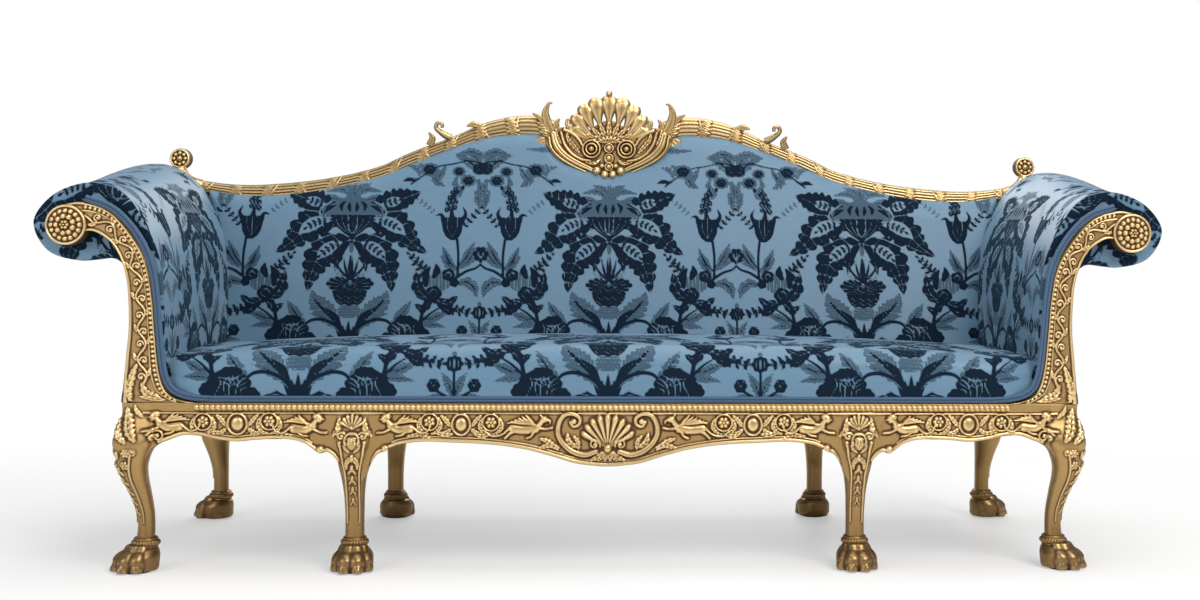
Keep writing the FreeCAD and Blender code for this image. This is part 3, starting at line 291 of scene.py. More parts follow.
        # ribs fan from a foot: height follows the cosine of the angle between ribs and rises outward
        where = self.around((x, y), (x, y), radius * 1.1)
        dx, dy = self.x[where] - x, self.y[where] - y
        angle, wide = np.arctan2(dx, dy), math.radians(spreading)
        rib = np.abs(np.cos(np.pi * ribs * (angle / (2 * wide) + 0.5) - np.pi / 2))
        edge = radius * (0.9 + 0.1 * rib) * (1 - 0.13 * (angle / wide) ** 2)
        reach = np.hypot(dx, dy) / edge
        body = (0.3 + 0.7 * rib ** 0.7) * (0.45 + 0.55 * smoothStep(0.16, 0.8, reach))
        body = body * np.clip((1 - reach) / 0.12, 0, 1) ** 0.4
        self.raiseTo(where, np.where((np.abs(angle) < wide) & (reach < 1), high * body, 0))


print("toolbox ready")

# shader writing: a socket that takes part in sums


class Value:
    def __init__(self, tree, socket):
        self.tree, self.socket = tree, socket

    def _sum(self, operation, first, second=None, third=None, clamp=False):
        made = self.tree.nodes.new("ShaderNodeMath")
        made.operation, made.use_clamp = operation, clamp
        for slot, item in zip(made.inputs, (first, second, third)):
            if isinstance(item, Value):
                self.tree.links.new(item.socket, slot)
            elif item is not None:
                slot.default_value = item
        return Value(self.tree, made.outputs[0])

    def __add__(self, other):
        return self._sum("ADD", self, other)

    def __radd__(self, other):
        return self._sum("ADD", other, self)

    def __sub__(self, other):
        return self._sum("SUBTRACT", self, other)

    def __rsub__(self, other):
        return self._sum("SUBTRACT", other, self)

    def __mul__(self, other):
        return self._sum("MULTIPLY", self, other)

    def sine(self):
        return self._sum("SINE", self)

    def clip(self):
        return self._sum("ADD", self, 0.0, clamp=True)

    def over(self, low, high):
        # nought below low, one above high, and even steps between
        return self._sum("MULTIPLY_ADD", self, 1 / (high - low), -low / (high - low), clamp=True)

    def larger(self, other):
        return self._sum("MAXIMUM", self, other)

    def size(self):
        return self._sum("ABSOLUTE", self)


class Finish:
    # a material being mixed: add() makes any node, with its settings first and then its sockets
    def __init__(self, name):
        self.material = bpy.data.materials.new(name)
        self.material.use_nodes = True
        self.tree = self.material.node_tree
        self.tree.nodes.clear()

    def add(self, kind, settings=None, sockets=None, out=0):
        made = self.tree.nodes.new(kind)
        for key, value in (settings or {}).items():
            if key == "stops":
                ramp = made.color_ramp
                while len(ramp.elements) < len(value):
                    ramp.elements.new(0.5)
                for element, (at, tint) in zip(ramp.elements, value):
                    element.position, element.color = at, (*tint, 1)
            else:
                setattr(made, key, value)
        for key, value in (sockets or {}).items():
            slot = made.inputs[key]
            if isinstance(value, Value):
                self.tree.links.new(value.socket, slot)
            else:
                slot.default_value = value
        return Value(self.tree, made.outputs[out])

    def mix(self, share, first, second):
        # sockets 6 and 7 are the colour pair of the Mix node, and output 2 is their mixture
        made = self.tree.nodes.new("ShaderNodeMix")
        made.data_type = "RGBA"
        for slot, item in ((0, share), (6, first), (7, second)):
            if isinstance(item, Value):
                self.tree.links.new(item.socket, made.inputs[slot])
            else:
                made.inputs[slot].default_value = item if slot == 0 else (*item, 1)
        return Value(self.tree, made.outputs[2])

    def stretched(self, vector, scale):
        return self.add("ShaderNodeMapping", None, {"Vector": vector, "Scale": scale})

    def place(self):
        # socket 3 is the place measured from the piece's own origin
        return self.add("ShaderNodeTexCoord", out=3)

    def axes(self, vector):
        made = self.add("ShaderNodeSeparateXYZ", None, {"Vector": vector}).socket.node
        return [Value(self.tree, made.outputs[k]) for k in range(3)]

    def grain(self, scale, detail=3.0, rough=0.5, where=None):
        return self.add("ShaderNodeTexNoise", None, {"Vector": where or self.place(), "Scale": scale,
                                                     "Detail": detail, "Roughness": rough})

    def attribute(self, name, out=2):
        return self.add("ShaderNodeAttribute", {"attribute_name": name}, out=out)

    def bump(self, height, distance, strength=1.0):
        return self.add("ShaderNodeBump", None,
                        {"Height": height, "Distance": distance, "Strength": strength})

    def surface(self, **sockets):
        return self.add("ShaderNodeBsdfPrincipled", None, {key.replace("_", " "): value
                                                           for key, value in sockets.items()})

    def done(self, shader):
        end = self.tree.nodes.new("ShaderNodeOutputMaterial")
        self.tree.links.new(shader.socket, end.inputs[0])
        return self.material


giltValues = {
    # recess: painted shade with the gilt's toning, for the hollows
    "recess": (0.070, 0.034, 0.013),
    "body": (0.43, 0.275, 0.105),
    # painted highlight for the heights of the carving
    "high": (0.76, 0.56, 0.285),
    "low": (0.19, 0.108, 0.046),  # darker and browner towards the bottom, most on the feet
    "bole": (0.20, 0.085, 0.04),
    "metal": 0.88,
}


def giltFinish(name, tone=1.0):
    # leaf over bole: painted shade with the gilt's toning dark in the hollows, a painted highlight on the
    # heights, with cloudy toning
    v = giltValues
    make = Finish(name)
    hollow = make.attribute("crevice")
    cloud = make.grain(9.0, 4.0, 0.6)
    fine = make.grain(120.0, 3.0, 0.6)
    # painted shade with toning: the hollows, clouded by noise, go towards the recess colour
    deep = (hollow * 0.75 + (cloud - 0.5) * 0.5 + (fine - 0.5) * 0.25).over(0.02, 0.75)
    # painted highlight on the heights, clouded by noise, towards the high colour
    heightHighlight = (0.0 - hollow * 1.1 + (cloud - 0.5) * 0.5 + (fine - 0.5) * 0.3).over(0.0, 0.6)
    body = tuple(c * tone for c in v["body"])
    worn = (make.grain(46.0, 5.0, 0.7) - 0.63).over(0.0, 0.1) * 0.55
    colour = make.mix(heightHighlight, body, tuple(min(1.0, c * tone) for c in v["high"]))
    colour = make.mix(worn, colour, v["bole"])
    # darker and browner towards the bottom, below 0.3 m
    down = 1 - make.axes(make.place())[2].over(0.0, 0.30)
    colour = make.mix(down * 0.72, colour, v["low"])
    colour = make.mix(deep, colour, v["recess"])
    rough = 0.36 + deep * 0.3 + (fine - 0.5) * 0.16
    relief = make.bump(fine * 0.6 + make.grain(420.0, 2.0) * 0.4, 0.0004, 0.35)
    return make.done(make.surface(Base_Color=colour, Metallic=v["metal"] - deep * 0.5, Roughness=rough,
                                  Normal=relief, IOR=1.5))


damaskValues = {
    "satin": (0.125, 0.235, 0.340),
    "satinShade": (0.085, 0.170, 0.255),
    "middle": (0.015, 0.050, 0.090),
    "velvet": (0.0040, 0.0105, 0.022),
    "threadPitch": 0.55,  # mm between weft threads
}


def damaskFinish():
    # satin ground, uncut loops in the middle tone and cut pile in the dark, from the piece's own values
    v = damaskValues
    make = Finish("blue_damask")
    pile = make.attribute("pile").over(-0.35, 0.35)
    loops = make.attribute("loops").over(-0.45, 0.45)
    cloth = make.attribute("cloth", out=1)
    along = make.axes(cloth)[1]
    slub = make.grain(1.0, 3.0, 0.5, make.stretched(cloth, (0.02, 0.9, 1.0)))
    warp = make.grain(1.0, 2.0, 0.5, make.stretched(cloth, (1.1, 0.03, 1.0)))
    threads = (along * (2 * math.pi / v["threadPitch"])).sine()
    satin = make.mix((slub + warp * 0.6 - 0.5).clip(), v["satinShade"], v["satin"])
    fringe = make.attribute("pile").over(-2.4, 0.3)
    ground = make.mix((loops * 0.92).larger(fringe * 0.6), satin, v["middle"])
    weave = make.bump(threads * 0.12 + slub * 0.7 + loops * 0.9, 0.0003, 0.5)
    smooth = make.surface(Base_Color=ground, Roughness=0.40 + loops * 0.25, Normal=weave,
                          Sheen_Weight=0.25, Sheen_Roughness=0.45, Sheen_Tint=(0.6, 0.78, 1.0, 1), IOR=1.45)
    nap = make.grain(900.0, 2.0)
    dark = make.mix((nap - 0.35).clip(), v["velvet"], tuple(c * 2.2 for c in v["velvet"]))
    fur = make.bump(nap + pile * 2.2, 0.0005, 0.6)
    velvet = make.surface(Base_Color=dark, Roughness=0.9, Normal=fur, Sheen_Weight=0.22,
                          Specular_IOR_Level=0.15,
                          Sheen_Roughness=0.3, Sheen_Tint=(0.22, 0.50, 0.75, 1), IOR=1.3)
    return make.done(make.add("ShaderNodeMixShader", None, {0: pile, 1: smooth, 2: velvet}))


def plainCloth(name, colour, pitch, sheen=0.1):
    # plain weave: two crossed sine waves of thread, with a slow change of tone
    make = Finish(name)
    x, y, _ = make.axes(make.stretched(make.place(), (2 * math.pi / pitch,) * 3))
    weave = x.sine() * y.sine()
    tone = make.mix((make.grain(14.0) + weave * 0.12).clip(), tuple(c * 0.7 for c in colour), colour)
    return make.done(make.surface(Base_Color=tone, Roughness=0.9, Sheen_Weight=sheen,
                                  Normal=make.bump(weave, 0.0004, 0.6)))


def woodFinish(name, colour, dark):
    # long grain: noise stretched along the board, darker in the pores
    make = Finish(name)
    grain = make.grain(1.0, 5.0, 0.6, make.stretched(make.place(), (9.0, 90.0, 90.0)))
    pores = make.grain(1.0, 2.0, 0.5, make.stretched(make.place(), (40.0, 700.0, 700.0)))
    pores = pores.over(0.55, 0.75)
    tone = make.mix((grain * 0.8 + pores * 0.3).clip(), colour, dark)
    return make.done(make.surface(Base_Color=tone, Roughness=0.62 + pores * 0.2,
                                  Normal=make.bump(grain + pores, 0.0003, 0.4)))


def braidFinish():
    # woven gimp: two ribbed bands beside a dark corded line, from the strip's own width and length
    make = Finish("blue_braid")
    along, across, _ = make.axes(make.attribute("cloth", out=1))
    ribs = (along * (2 * math.pi / 1.5)).sine()
    cord = 1 - across.size().over(0.12, 0.26)
    dots = (along * (2 * math.pi / 3.4)).sine().over(-0.2, 0.5)
    tone = make.mix((ribs * 0.35 + 0.5).clip(), (0.022, 0.060, 0.125), (0.055, 0.120, 0.215))
    tone = make.mix(cord * (0.35 + dots * 0.65), tone, (0.008, 0.014, 0.03))
    return make.done(make.surface(Base_Color=tone, Roughness=0.7, Sheen_Weight=0.3,
                                  Sheen_Tint=(0.5, 0.7, 1, 1),
                                  Normal=make.bump(ribs * 0.5 + dots * cord, 0.0005, 0.7)))


gilt = giltFinish("gilt_carving")
# a darker copy of the gilt for the top-lit crest: painted shade
giltCrestShaded = giltFinish("gilt_crest_shaded", tone=0.75)
damask = damaskFinish()
braid = braidFinish()
beech = woodFinish("beech_frame", (0.42, 0.27, 0.14), (0.22, 0.12, 0.055))
dustCotton = plainCloth("dust_cloth", (0.018, 0.018, 0.022), 0.0011)
linen = plainCloth("linen", (0.42, 0.34, 0.22), 0.0016)
jute = plainCloth("jute_web", (0.40, 0.29, 0.16), 0.003)
hair = plainCloth("curled_hair", (0.10, 0.07, 0.05), 0.002)
# very dark wood for the pads under the paws, which also stands for the shade under each paw
padWood = woodFinish("dark_pad_and_shade", (0.05, 0.03, 0.018), (0.02, 0.012, 0.008))
print("finishes ready")

# room: pale floor, soft lamps, and the camera where the photographer stood

camera = {
    "spot": (-8.55, -3238.1, 609.94),  # mm
    "yaw": 0.054, "pitch": 0.0023, "roll": 0.0071,  # radians: to the right, down, clockwise
    "lens": 45.0, "shift": (-0.0713, -0.0337),
}


def addCamera():
    c = camera
    ahead = np.array([math.sin(c["yaw"]) * math.cos(c["pitch"]), math.cos(c["yaw"]) * math.cos(c["pitch"]),
                      -math.sin(c["pitch"])])
    side = np.array([math.cos(c["yaw"]), -math.sin(c["yaw"]), 0])
    up = np.cross(side, ahead)
    right = math.cos(c["roll"]) * side + math.sin(c["roll"]) * up
    up = math.cos(c["roll"]) * up - math.sin(c["roll"]) * side
    data = bpy.data.cameras.new("photo_camera")
    data.lens, data.sensor_width = c["lens"], 36
    data.shift_x, data.shift_y = c["shift"]
    data.clip_end = 60
    eye = bpy.data.objects.new("photo_camera", data)
    matrix = Matrix.Identity(4)
    for column, axis in enumerate((right, up, -ahead)):
        for row in range(3):
            matrix[row][column] = axis[row]
    matrix.translation = [value * mm for value in c["spot"]]
    eye.matrix_world = matrix
    bpy.context.scene.collection.objects.link(eye)
    bpy.context.scene.camera = eye


lamps = {
    "key": {"spot": (1.9, -3.2, 3.4), "size": 2.6, "power": 150, "tint": (1.0, 0.97, 0.93)},
    "fill": {"spot": (-2.8, -3.4, 2.2), "size": 3.0, "power": 62, "tint": (0.95, 0.97, 1.0)},
    "top": {"spot": (0.2, 0.1, 3.6), "size": 3.2, "power": 66, "tint": (1.0, 0.99, 0.97)},
    "back": {"spot": (0.4, 3.4, 2.4), "size": 2.6, "power": 45, "tint": (1.0, 1.0, 1.0)},
}


def addLamps():
    for name, lamp in lamps.items():
        data = bpy.data.lights.new(name + "_lamp", "AREA")
        data.shape, data.size = "DISK", lamp["size"]
        data.energy, data.color = lamp["power"], lamp["tint"]
        shade = bpy.data.objects.new(name + "_lamp", data)
        aim = np.array([0, 0, 0.45]) - np.array(lamp["spot"])
        shade.matrix_world = Matrix.Translation(lamp["spot"]) @ \
            Vector(aim).to_track_quat("-Z", "Y").to_matrix().to_4x4()
        bpy.context.scene.collection.objects.link(shade)


def addRoom():
    # the world is white where it is seen and a plain grey light elsewhere; the floor keeps a soft shadow
    world = bpy.data.worlds.new("studio")
    world.use_nodes = True
    tree = world.node_tree
    tree.nodes.clear()
    path = tree.nodes.new("ShaderNodeLightPath")
    seen = Value(tree, path.outputs["Is Camera Ray"])
    seen = seen.larger(Value(tree, path.outputs["Is Transmission Ray"]))
    glossy = Value(tree, path.outputs["Is Glossy Ray"])
    light = tree.nodes.new("ShaderNodeBackground")
    light.inputs[0].default_value = (1, 1, 1, 1)
    tree.links.new((seen * 0.58 - glossy * (1 - seen) * 0.17 + 0.42).socket, light.inputs[1])
    tree.links.new(light.outputs[0], tree.nodes.new("ShaderNodeOutputWorld").inputs[0])
    bpy.context.scene.world = world

    make = Finish("pale_floor")
    path = make.tree.nodes.new("ShaderNodeLightPath")
    seen = Value(make.tree, path.outputs["Is Camera Ray"])
    matte = make.surface(Base_Color=(0.93, 0.93, 0.93, 1), Roughness=0.42, Specular_IOR_Level=0.25)
    glow = make.add("ShaderNodeEmission", None, {"Color": (1, 1, 1, 1), "Strength": 1.0})
    # pure white away from the sofa, so that only its own soft shadow shows
    spot = make.stretched(make.place(), (0.45, 0.75, 0.0))
    away = make.add("ShaderNodeVectorMath", {"operation": "LENGTH"}, {0: spot}, out=1)
    share = seen * (0.42 + away.over(0.45, 1.35) * 0.58)
    finish = make.done(make.add("ShaderNodeMixShader", None, {0: share, 1: matte, 2: glow}))
    reach = 30000.0
    square = np.array([[[-reach, -reach, 0], [reach, -reach, 0]], [[-reach, reach, 0], [reach, reach, 0]]])
    mesh = bpy.data.meshes.new("studio_floor")
    mesh.from_pydata(square.reshape(-1, 3) * mm, [], [(0, 1, 3, 2)])
    mesh.materials.append(finish)
    floor = bpy.data.objects.new("studio_floor", mesh)
    bpy.context.scene.collection.objects.link(floor)


addCamera()
addLamps()
addRoom()
bpy.context.scene.view_settings.view_transform = "Standard"
print("room ready")

# the damask design, drawn once over half a repeat and then read by every cover

repeat = {"half": 295.0, "low": -250.0, "high": 250.0, "step": 1.0}  # mm


class Weaving(Carving):
    # two layers of distance in mm, above nought inside the figure: cut pile and uncut loops
    def __init__(self):
        self.across = np.arange(0, repeat["half"] + 0.5, repeat["step"])
        self.upward = np.arange(repeat["low"], repeat["high"] + 0.5, repeat["step"])
        y, x = np.meshgrid(self.upward, self.across, indexing="ij")
        super().__init__(x, y)
        self.layers = {"pile": np.full(self.x.shape, -9.0), "loops": np.full(self.x.shape, -9.0)}

    def join(self, layer, where, value):
        self.layers[layer][where] = np.maximum(self.layers[layer][where], value)

    def blade(self, points, widths, layer="pile", teeth=0, bite=0.3, hatch=0.0):
        # a leaf or stem: half width less the distance to its middle line, its edge cut into teeth,
        # and on hatched leaves parted by slanting lines of ground
        widest = np.max(widths)
        where, gap, share, run = self.along(points, widest + 3)
        half = spread(share, widths)
        if teeth:
            half = half * (1 - bite * (1 - np.abs(np.sin(np.pi * (teeth * share - 0.35 * gap / widest)))))
        value = half - gap
        if teeth and layer == "pile":
            # a pale midrib, and thin veins slanting off it
            slant = np.abs(np.sin(np.pi * (teeth * share - 0.7 * gap / widest)))
            value = np.minimum(value,
                               np.where(gap < half * 0.8, np.minimum(gap - 0.8, (slant - 0.12) * 7), value))
        if hatch:
            slant = np.abs(np.sin(np.pi * (share * run - 0.75 * gap) / hatch))
            value = np.minimum(value, (slant - 0.33) * hatch * 0.62)
            heart = np.minimum(half * (0.05 + 0.14 * slant) - gap,
                               np.minimum(share - 0.04, 0.82 - share) * 40)
            self.join("pile", where, heart)
        self.join(layer, where, value)

    def disc(self, x, y, wide, tall=None, layer="pile", lobes=0):
        tall = tall or wide
        where = self.around((x - wide, y - tall), (x + wide, y + tall), 4)
        dx, dy = self.x[where] - x, self.y[where] - y
        reach = np.hypot(dx / wide, dy / tall)
        if lobes:
            reach = reach / (0.84 + 0.16 * np.abs(np.cos(lobes * np.arctan2(dy, dx) / 2)))
        self.join(layer, where, (1 - reach) * min(wide, tall))

    def clear(self, points, widths, layers=("pile",)):
        # a line of bare ground through the figure
        where, gap, share, run = self.along(points, np.max(widths) + 3)
        for layer in layers:
            self.layers[layer][where] = np.minimum(self.layers[layer][where], gap - spread(share, widths))

    def cup(self, heights, widths, layer="pile", x=0.0, lean=0.0, frill=0.0):
        # a vase form: half width read from its height, level above and below
        where = np.flatnonzero((self.y > heights[0] - 4) & (self.y < heights[-1] + 4))
        y = self.y[where]
        dx = np.abs(self.x[where] - x - lean * (y - heights[0]))
        half = np.interp(y, heights, widths)
        edge = y - heights[0] - frill * np.abs(np.sin(dx / 7.0))
        self.join(layer, where, np.minimum(np.minimum(half - dx, edge), heights[-1] - y))

    def sprig(self, points, count, long, wide, layer="pile"):
        # small oval leaves in pairs along a thin stalk, and one at its tip
        line = evenLine(points, count + 1)[0]
        self.blade(points, [0.7], layer)
        ways = np.diff(line, axis=0)
        ways = ways / np.linalg.norm(ways, axis=1, keepdims=True)
        feet = [(line[-1], ways[-1])]
        for start, way in zip(line, ways):
            for side in (-1, 1):
                aim = way * 0.55 + np.array([-way[1], way[0]]) * side * 0.85
                feet.append((start + aim * 1.5, aim))
        for foot, aim in feet:
            self.blade([foot, foot + aim * long], [wide * 0.4, wide, wide * 0.3], layer)

    def plume(self, points, widths, teeth, hollow, heart):
        # the great leaves: a dark toothed border, a pale heart with a fringe, and a sprig inside it
        line = flowLine(points)
        widths = np.asarray(widths, float) * 1.58
        self.blade(points, widths, "pile", teeth)
        inner = line[int(len(line) * hollow[0]):int(len(line) * hollow[1])]
        reach = spread(np.linspace(*hollow, 5), widths) * np.array([0.16, 0.34, 0.4, 0.32, 0.08])
        self.clear(inner[::2], reach)
        self.sprig(inner[1:-2:3], heart, 8.5, 3.4)

    def read(self, u, v):
        # fold the cloth's own measure into the drawn half repeat, then mix the four nearest drawn points
        half, low, high, step = (repeat[key] for key in ("half", "low", "high", "step"))
        u = np.abs((u + half) % (2 * half) - half) / step
        v = ((v - low) % (high - low)) / step
        cols, rows = len(self.across), len(self.upward)
        i, j = np.minimum(u.astype(int), cols - 2), np.minimum(v.astype(int), rows - 2)
        fu, fv = u - i, v - j
        out = {}
        for name, layer in self.layers.items():
            grid = layer.reshape(rows, cols)
            out[name] = ((grid[j, i] * (1 - fu) + grid[j, i + 1] * fu) * (1 - fv)
                         + (grid[j + 1, i] * (1 - fu) + grid[j + 1, i + 1] * fu) * fv)
        return out


def drawPalmette(w):
    # the great palmette on the main axis: collar, leaves, cup, stalk and fan
    w.plume([(52, 72), (78, 80), (104, 88), (128, 97), (150, 106)], [12, 19, 20, 14, 3], 6, (0.14, 0.62), 3)
    w.plume([(40, 38), (76, 36), (108, 18), (132, -8), (150, -24), (170, -36)], [12, 24, 26, 20, 11, 2], 7,
            (0.1, 0.5), 4)
    w.plume([(4, -8), (40, -20), (70, -44), (85, -76), (92, -104), (95, -126)], [6, 21, 25, 21, 12, 2], 7,
            (0.12, 0.52), 4)
    w.blade([(12, -20), (28, -46), (35, -80)], [3, 11, 2], "pile", 3, 0.3)
    w.clear([(40, 66), (66, 54), (84, 60), (104, 62), (126, 70)], [1.2])
    w.clear([(30, 12), (56, 2), (86, -12), (112, -26)], [1.2])
    w.clear([(0, 96), (30, 92), (62, 76), (76, 60), (70, 48), (40, 44), (0, 44)], [2.0])
    w.clear([(10, 58), (34, 66), (60, 60)], [20, 16, 10])
    w.cup((44, 58, 72, 86, 96), (70, 74, 64, 40, 12), "loops", frill=6)
    for points, widths in (([(4, 90), (26, 112), (64, 108)], [4, 10, 2]),
                           ([(2, 92), (12, 118), (40, 128)], [4, 8, 1]),
                           ([(22, 84), (52, 92), (84, 84)], [5, 11, 3]),
                           ([(0, 96), (2, 114), (3, 132)], [2, 5, 1])):
        w.blade(points, widths, "loops", 5, 0.24, 5.6)
    for points in ([(18, 84), (27, 74), (25, 60)], [(40, 74), (54, 68), (66, 56)],
                   [(8, 82), (9, 70), (6, 58)]):
        w.blade(points, [1.4, 5.2, 1.2])
    for k in range(9):
        w.clear([(2 + 8.6 * k, 50 + 1.2 * (k % 2)), (2.4 + 8.6 * k, 50 + 1.2 * (k % 2))], [1.9],
                ("loops", "pile"))
    w.cup((-2, 8, 22, 38, 52), (2, 18, 34, 45, 50))
    for x in (0, 10, 22, 35):
        w.clear([(x * 1.15, 50), (x * 0.95, 30), (x * 0.3, 7)], [0.7, 1.1, 0.5])
    w.clear([(-9, 46), (-10, 22), (0, 9), (10, 22), (9, 46)], [1.0])
    w.clear([(0, 54), (30, 56), (54, 52)], [1.2])
    for points in ([(100, -8), (126, -20), (150, -30)], [(68, -72), (80, -94), (90, -116)],
                   [(96, -64), (102, -84), (98, -110)], [(124, 36), (140, 10), (152, -18)]):
        w.clear(points, [0.4, 1.0, 0.4])
    w.disc(0, -24, 5.5, 15, "loops")
    w.blade([(1, -100), (3, -66), (2, -44)], [2, 3.2, 0.8])
    w.blade([(3, -100), (12, -74), (17, -48)], [1.6, 2.8, 0.6])
    w.blade([(5, -98), (22, -80), (34, -60)], [1.6, 2.8, 0.6])
    w.disc(16, -88, 4.5)
    w.clear([(16, -88), (16.5, -88)], [1.6])
    w.sprig([(22, -92), (34, -84)], 2, 5, 1.6, "loops")
    w.disc(27, -110, 27, 17, lobes=9)
    w.disc(14, -130, 25, 19, lobes=8)
    for k in range(9):
        angle = math.radians(48 - 17 * k)
        w.clear([(15 * math.cos(angle), -116 + 12 * math.sin(angle)),
                 (50 * math.cos(angle), -114 + 36 * math.sin(angle))], [0.5, 1.0])
    w.disc(0, -115, 12, 9, "loops")
    w.clear([(-12, -115), (0, -106), (12, -115), (0, -124), (-12, -115)], [0.9])
    w.cup((-163, -152, -138, -130), (16, 30, 38, 34), frill=5)
    for level in (-140, -150):
        w.clear([(0, level - 5), (9, level + 2), (18, level - 5), (27, level + 2), (36, level - 4)], [0.7])
    w.cup((-190, -182, -170, -160), (12, 22, 25, 20), "loops")
    for row in range(4):
        for k in range(5):
            w.clear([(k * 7 - 1 + 3.5 * (row % 2), -186 + row * 7),
                     (k * 7 + 3.5 * (row % 2), -186 + row * 7)],
                    [1.3], ("loops",))


def drawBase(w):
    # the spray at the foot: fan of blades, feathers, arching stems and peonies
    w.blade([(0, -250), (0, -226), (0, -196)], [3, 6, 1])
    for x, y, wide in ((12, -208, 4.5), (27, -216, 4.5), (42, -228, 4.5)):
        w.blade([(1, -250), (x * 0.55, (y - 250) / 2 - 4), (x, y)], [2, wide, 0.8])
    w.blade([(10, -246), (40, -236), (62, -242)], [2, 5.5, 5], teeth=3)
    w.blade([(18, -216), (38, -190), (60, -168), (78, -146), (84, -128)], [5, 20, 27, 22, 4], "loops", 8,
            0.24, 7.6)
    w.blade([(96, -204), (114, -186), (128, -168), (140, -148)], [4, 14, 12, 1], "loops", 6, 0.24, 6.4)
    w.blade([(14, -216), (30, -186), (54, -166)], [2, 6, 1])
    w.blade([(34, -206), (58, -188), (90, -178)], [2, 7, 1], "loops", hatch=5.3)
    w.blade([(4, -250), (22, -212), (56, -194), (86, -196), (104, -216)], [2.5, 3.4, 3.6, 3.4, 2.2])
    for x, y, wide, tall, lobes in ((118, -222, 32, 30, 9), (150, -216, 24, 24, 8), (90, -236, 19, 15, 6),
                                    (128, -196, 25, 14, 7), (170, -230, 17, 17, 6)):
        w.disc(x, y, wide, tall, lobes=lobes)
    for points in ([(97, -204), (112, -214), (120, -246)], [(112, -202), (128, -214), (130, -246)],
                   [(128, -200), (140, -216), (136, -240)], [(96, -222), (108, -228), (108, -246)],
                   [(150, -202), (146, -216), (156, -236)], [(104, -197), (124, -206), (146, -204)]):
        w.clear(points, [0.8, 1.4, 0.8])
    for k in range(6):
        angle = math.radians(35 + 22 * k)
        w.clear([(118 + 8 * math.cos(angle), -226 + 8 * math.sin(angle)),
                 (118 + 29 * math.cos(angle), -226 + 27 * math.sin(angle))], [0.5, 1.1, 0.7])
    w.blade([(150, -204), (172, -192), (206, -186)], [3, 9, 1], "loops", hatch=5.3)
    w.blade([(158, -206), (190, -204), (220, -210)], [3, 9, 1], "loops", hatch=5.3)
    w.blade([(160, -204), (166, -176), (172, -150)], [3.4, 3.8, 3])
    w.blade([(160, -202), (182, -180), (206, -164)], [2.2, 2.4, 1.6])
    w.blade([(176, -200), (196, -186), (226, -176)], [3, 12, 2], "loops", 5, 0.2, 6.0)


def drawSideFlower(w):
    # the open flower between the axes, with its stalks and leaves
    w.disc(203, -104, 27, 23, "loops")
    for k in range(6):
        w.clear([(184 + 8 * k, -86), (186 + 8 * k, -124)], [1.2], ("loops",))
    for points, widths, teeth in (
            ([(178, -146), (156, -122), (148, -84)], [9, 17, 4], 3),
            ([(196, -148), (220, -156), (242, -140)], [9, 15, 4], 3),
            ([(184, -152), (166, -166), (150, -158)], [6, 13, 3], 3),
            ([(172, -112), (170, -88), (180, -70)], [5, 11, 2], 0),
            ([(190, -92), (196, -78), (194, -64)], [5, 9, 2], 0),
            ([(206, -160), (226, -172), (244, -168)], [5, 11, 2], 3)):
        w.blade(points, widths, "pile", teeth)
    for x, y, r in ((190, -132, 19), (222, -88, 15), (236, -106, 11)):
        w.disc(x, y, r, lobes=5)
    for x, y, r in ((190, -132, 10), (222, -88, 8)):
        w.clear([(x - r, y), (x, y + r), (x + r, y), (x, y - r)], [0.8])
    for points in ([(180, -136), (166, -112), (162, -82)], [(196, -146), (216, -148), (232, -136)],
                   [(180, -128), (188, -120), (192, -132)], [(216, -92), (222, -82), (228, -90)],
                   [(150, -136), (164, -140), (176, -138)]):
        w.clear(points, [0.4, 0.9, 0.4])
    w.blade([(236, -98), (262, -80), (284, -72), (296, -62)], [3, 3, 2.6, 2])
    w.blade([(242, -110), (262, -104), (280, -116), (288, -140)], [4, 14, 13, 2], "loops", 5, 0.24, 6.2)
    w.blade([(236, -84), (224, -66), (204, -44)], [3, 12, 2], "loops", 5, 0.24, 6.0)
    w.blade([(250, -72), (268, -54), (286, -24)], [4, 14, 3], "loops", 6, 0.24, 6.2)
    w.sprig([(166, -88), (152, -68), (138, -52)], 3, 9, 3.6)
    w.sprig([(232, -172), (254, -176), (278, -178)], 3, 9, 3.6)
    for x, y in ((296, -54), (286, -48), (296, -38), (282, -38), (290, -28)):
        w.disc(x, y, 5.5, 6.5)
    w.clear([(295, -60), (295, -30)], [0.6])


def drawTulip(w):
    # the tulip with its cluster of seeds, on a long stalk
    w.cup((-6, 2, 14, 32, 48), (5, 15, 21, 24, 25), x=230, lean=-0.05)
    w.blade([(208, 40), (202, 54), (190, 52)], [6, 3.5, 1])
    w.blade([(250, 40), (258, 56), (252, 72)], [6, 3.5, 1])
    w.blade([(228, 46), (226, 60), (230, 72)], [7, 4, 1])
    for x in (218, 229, 240):
        w.clear([(x, 52), (x - 1, 24), (229, 0)], [0.9, 1.0, 0.4])
    for row, (x, y) in enumerate(((222, 66), (224, 80), (228, 94), (234, 106), (241, 115))):
        for k in range(3 - row // 2):
            bx, by = x + 9.5 * k - 8, y + 3.0 * k
            w.disc(bx, by, 5.2, 6.6)
            w.clear([(bx - 1.4, by - 3.5), (bx + 1.0, by + 3.0)], [1.0])
    w.disc(250, 119, 4, 5)
    w.blade([(240, -4), (244, -44), (243, -92)], [2.8, 2.6, 2.8])
    w.blade([(244, -70), (262, -48), (280, -10)], [3, 13, 2], "loops", 7, 0.25, 5.6)
    w.blade([(242, -76), (222, -56), (208, -22)], [3, 13, 2], "loops", 7, 0.25, 5.6)
    w.blade([(244, -70), (262, -46), (276, -18)], [0.8, 1.6, 0.5])
    w.blade([(242, -76), (224, -56), (211, -28)], [0.8, 1.6, 0.5])
    w.sprig([(256, 28), (276, 50), (292, 70)], 4, 8, 3.2)
    w.sprig([(184, 60), (168, 76), (148, 90)], 4, 7, 2.6, "loops")
    w.sprig([(170, -72), (152, -54), (132, -40)], 4, 8, 3.2)
    w.sprig([(226, -166), (252, -166), (280, -176)], 4, 8, 3.4)


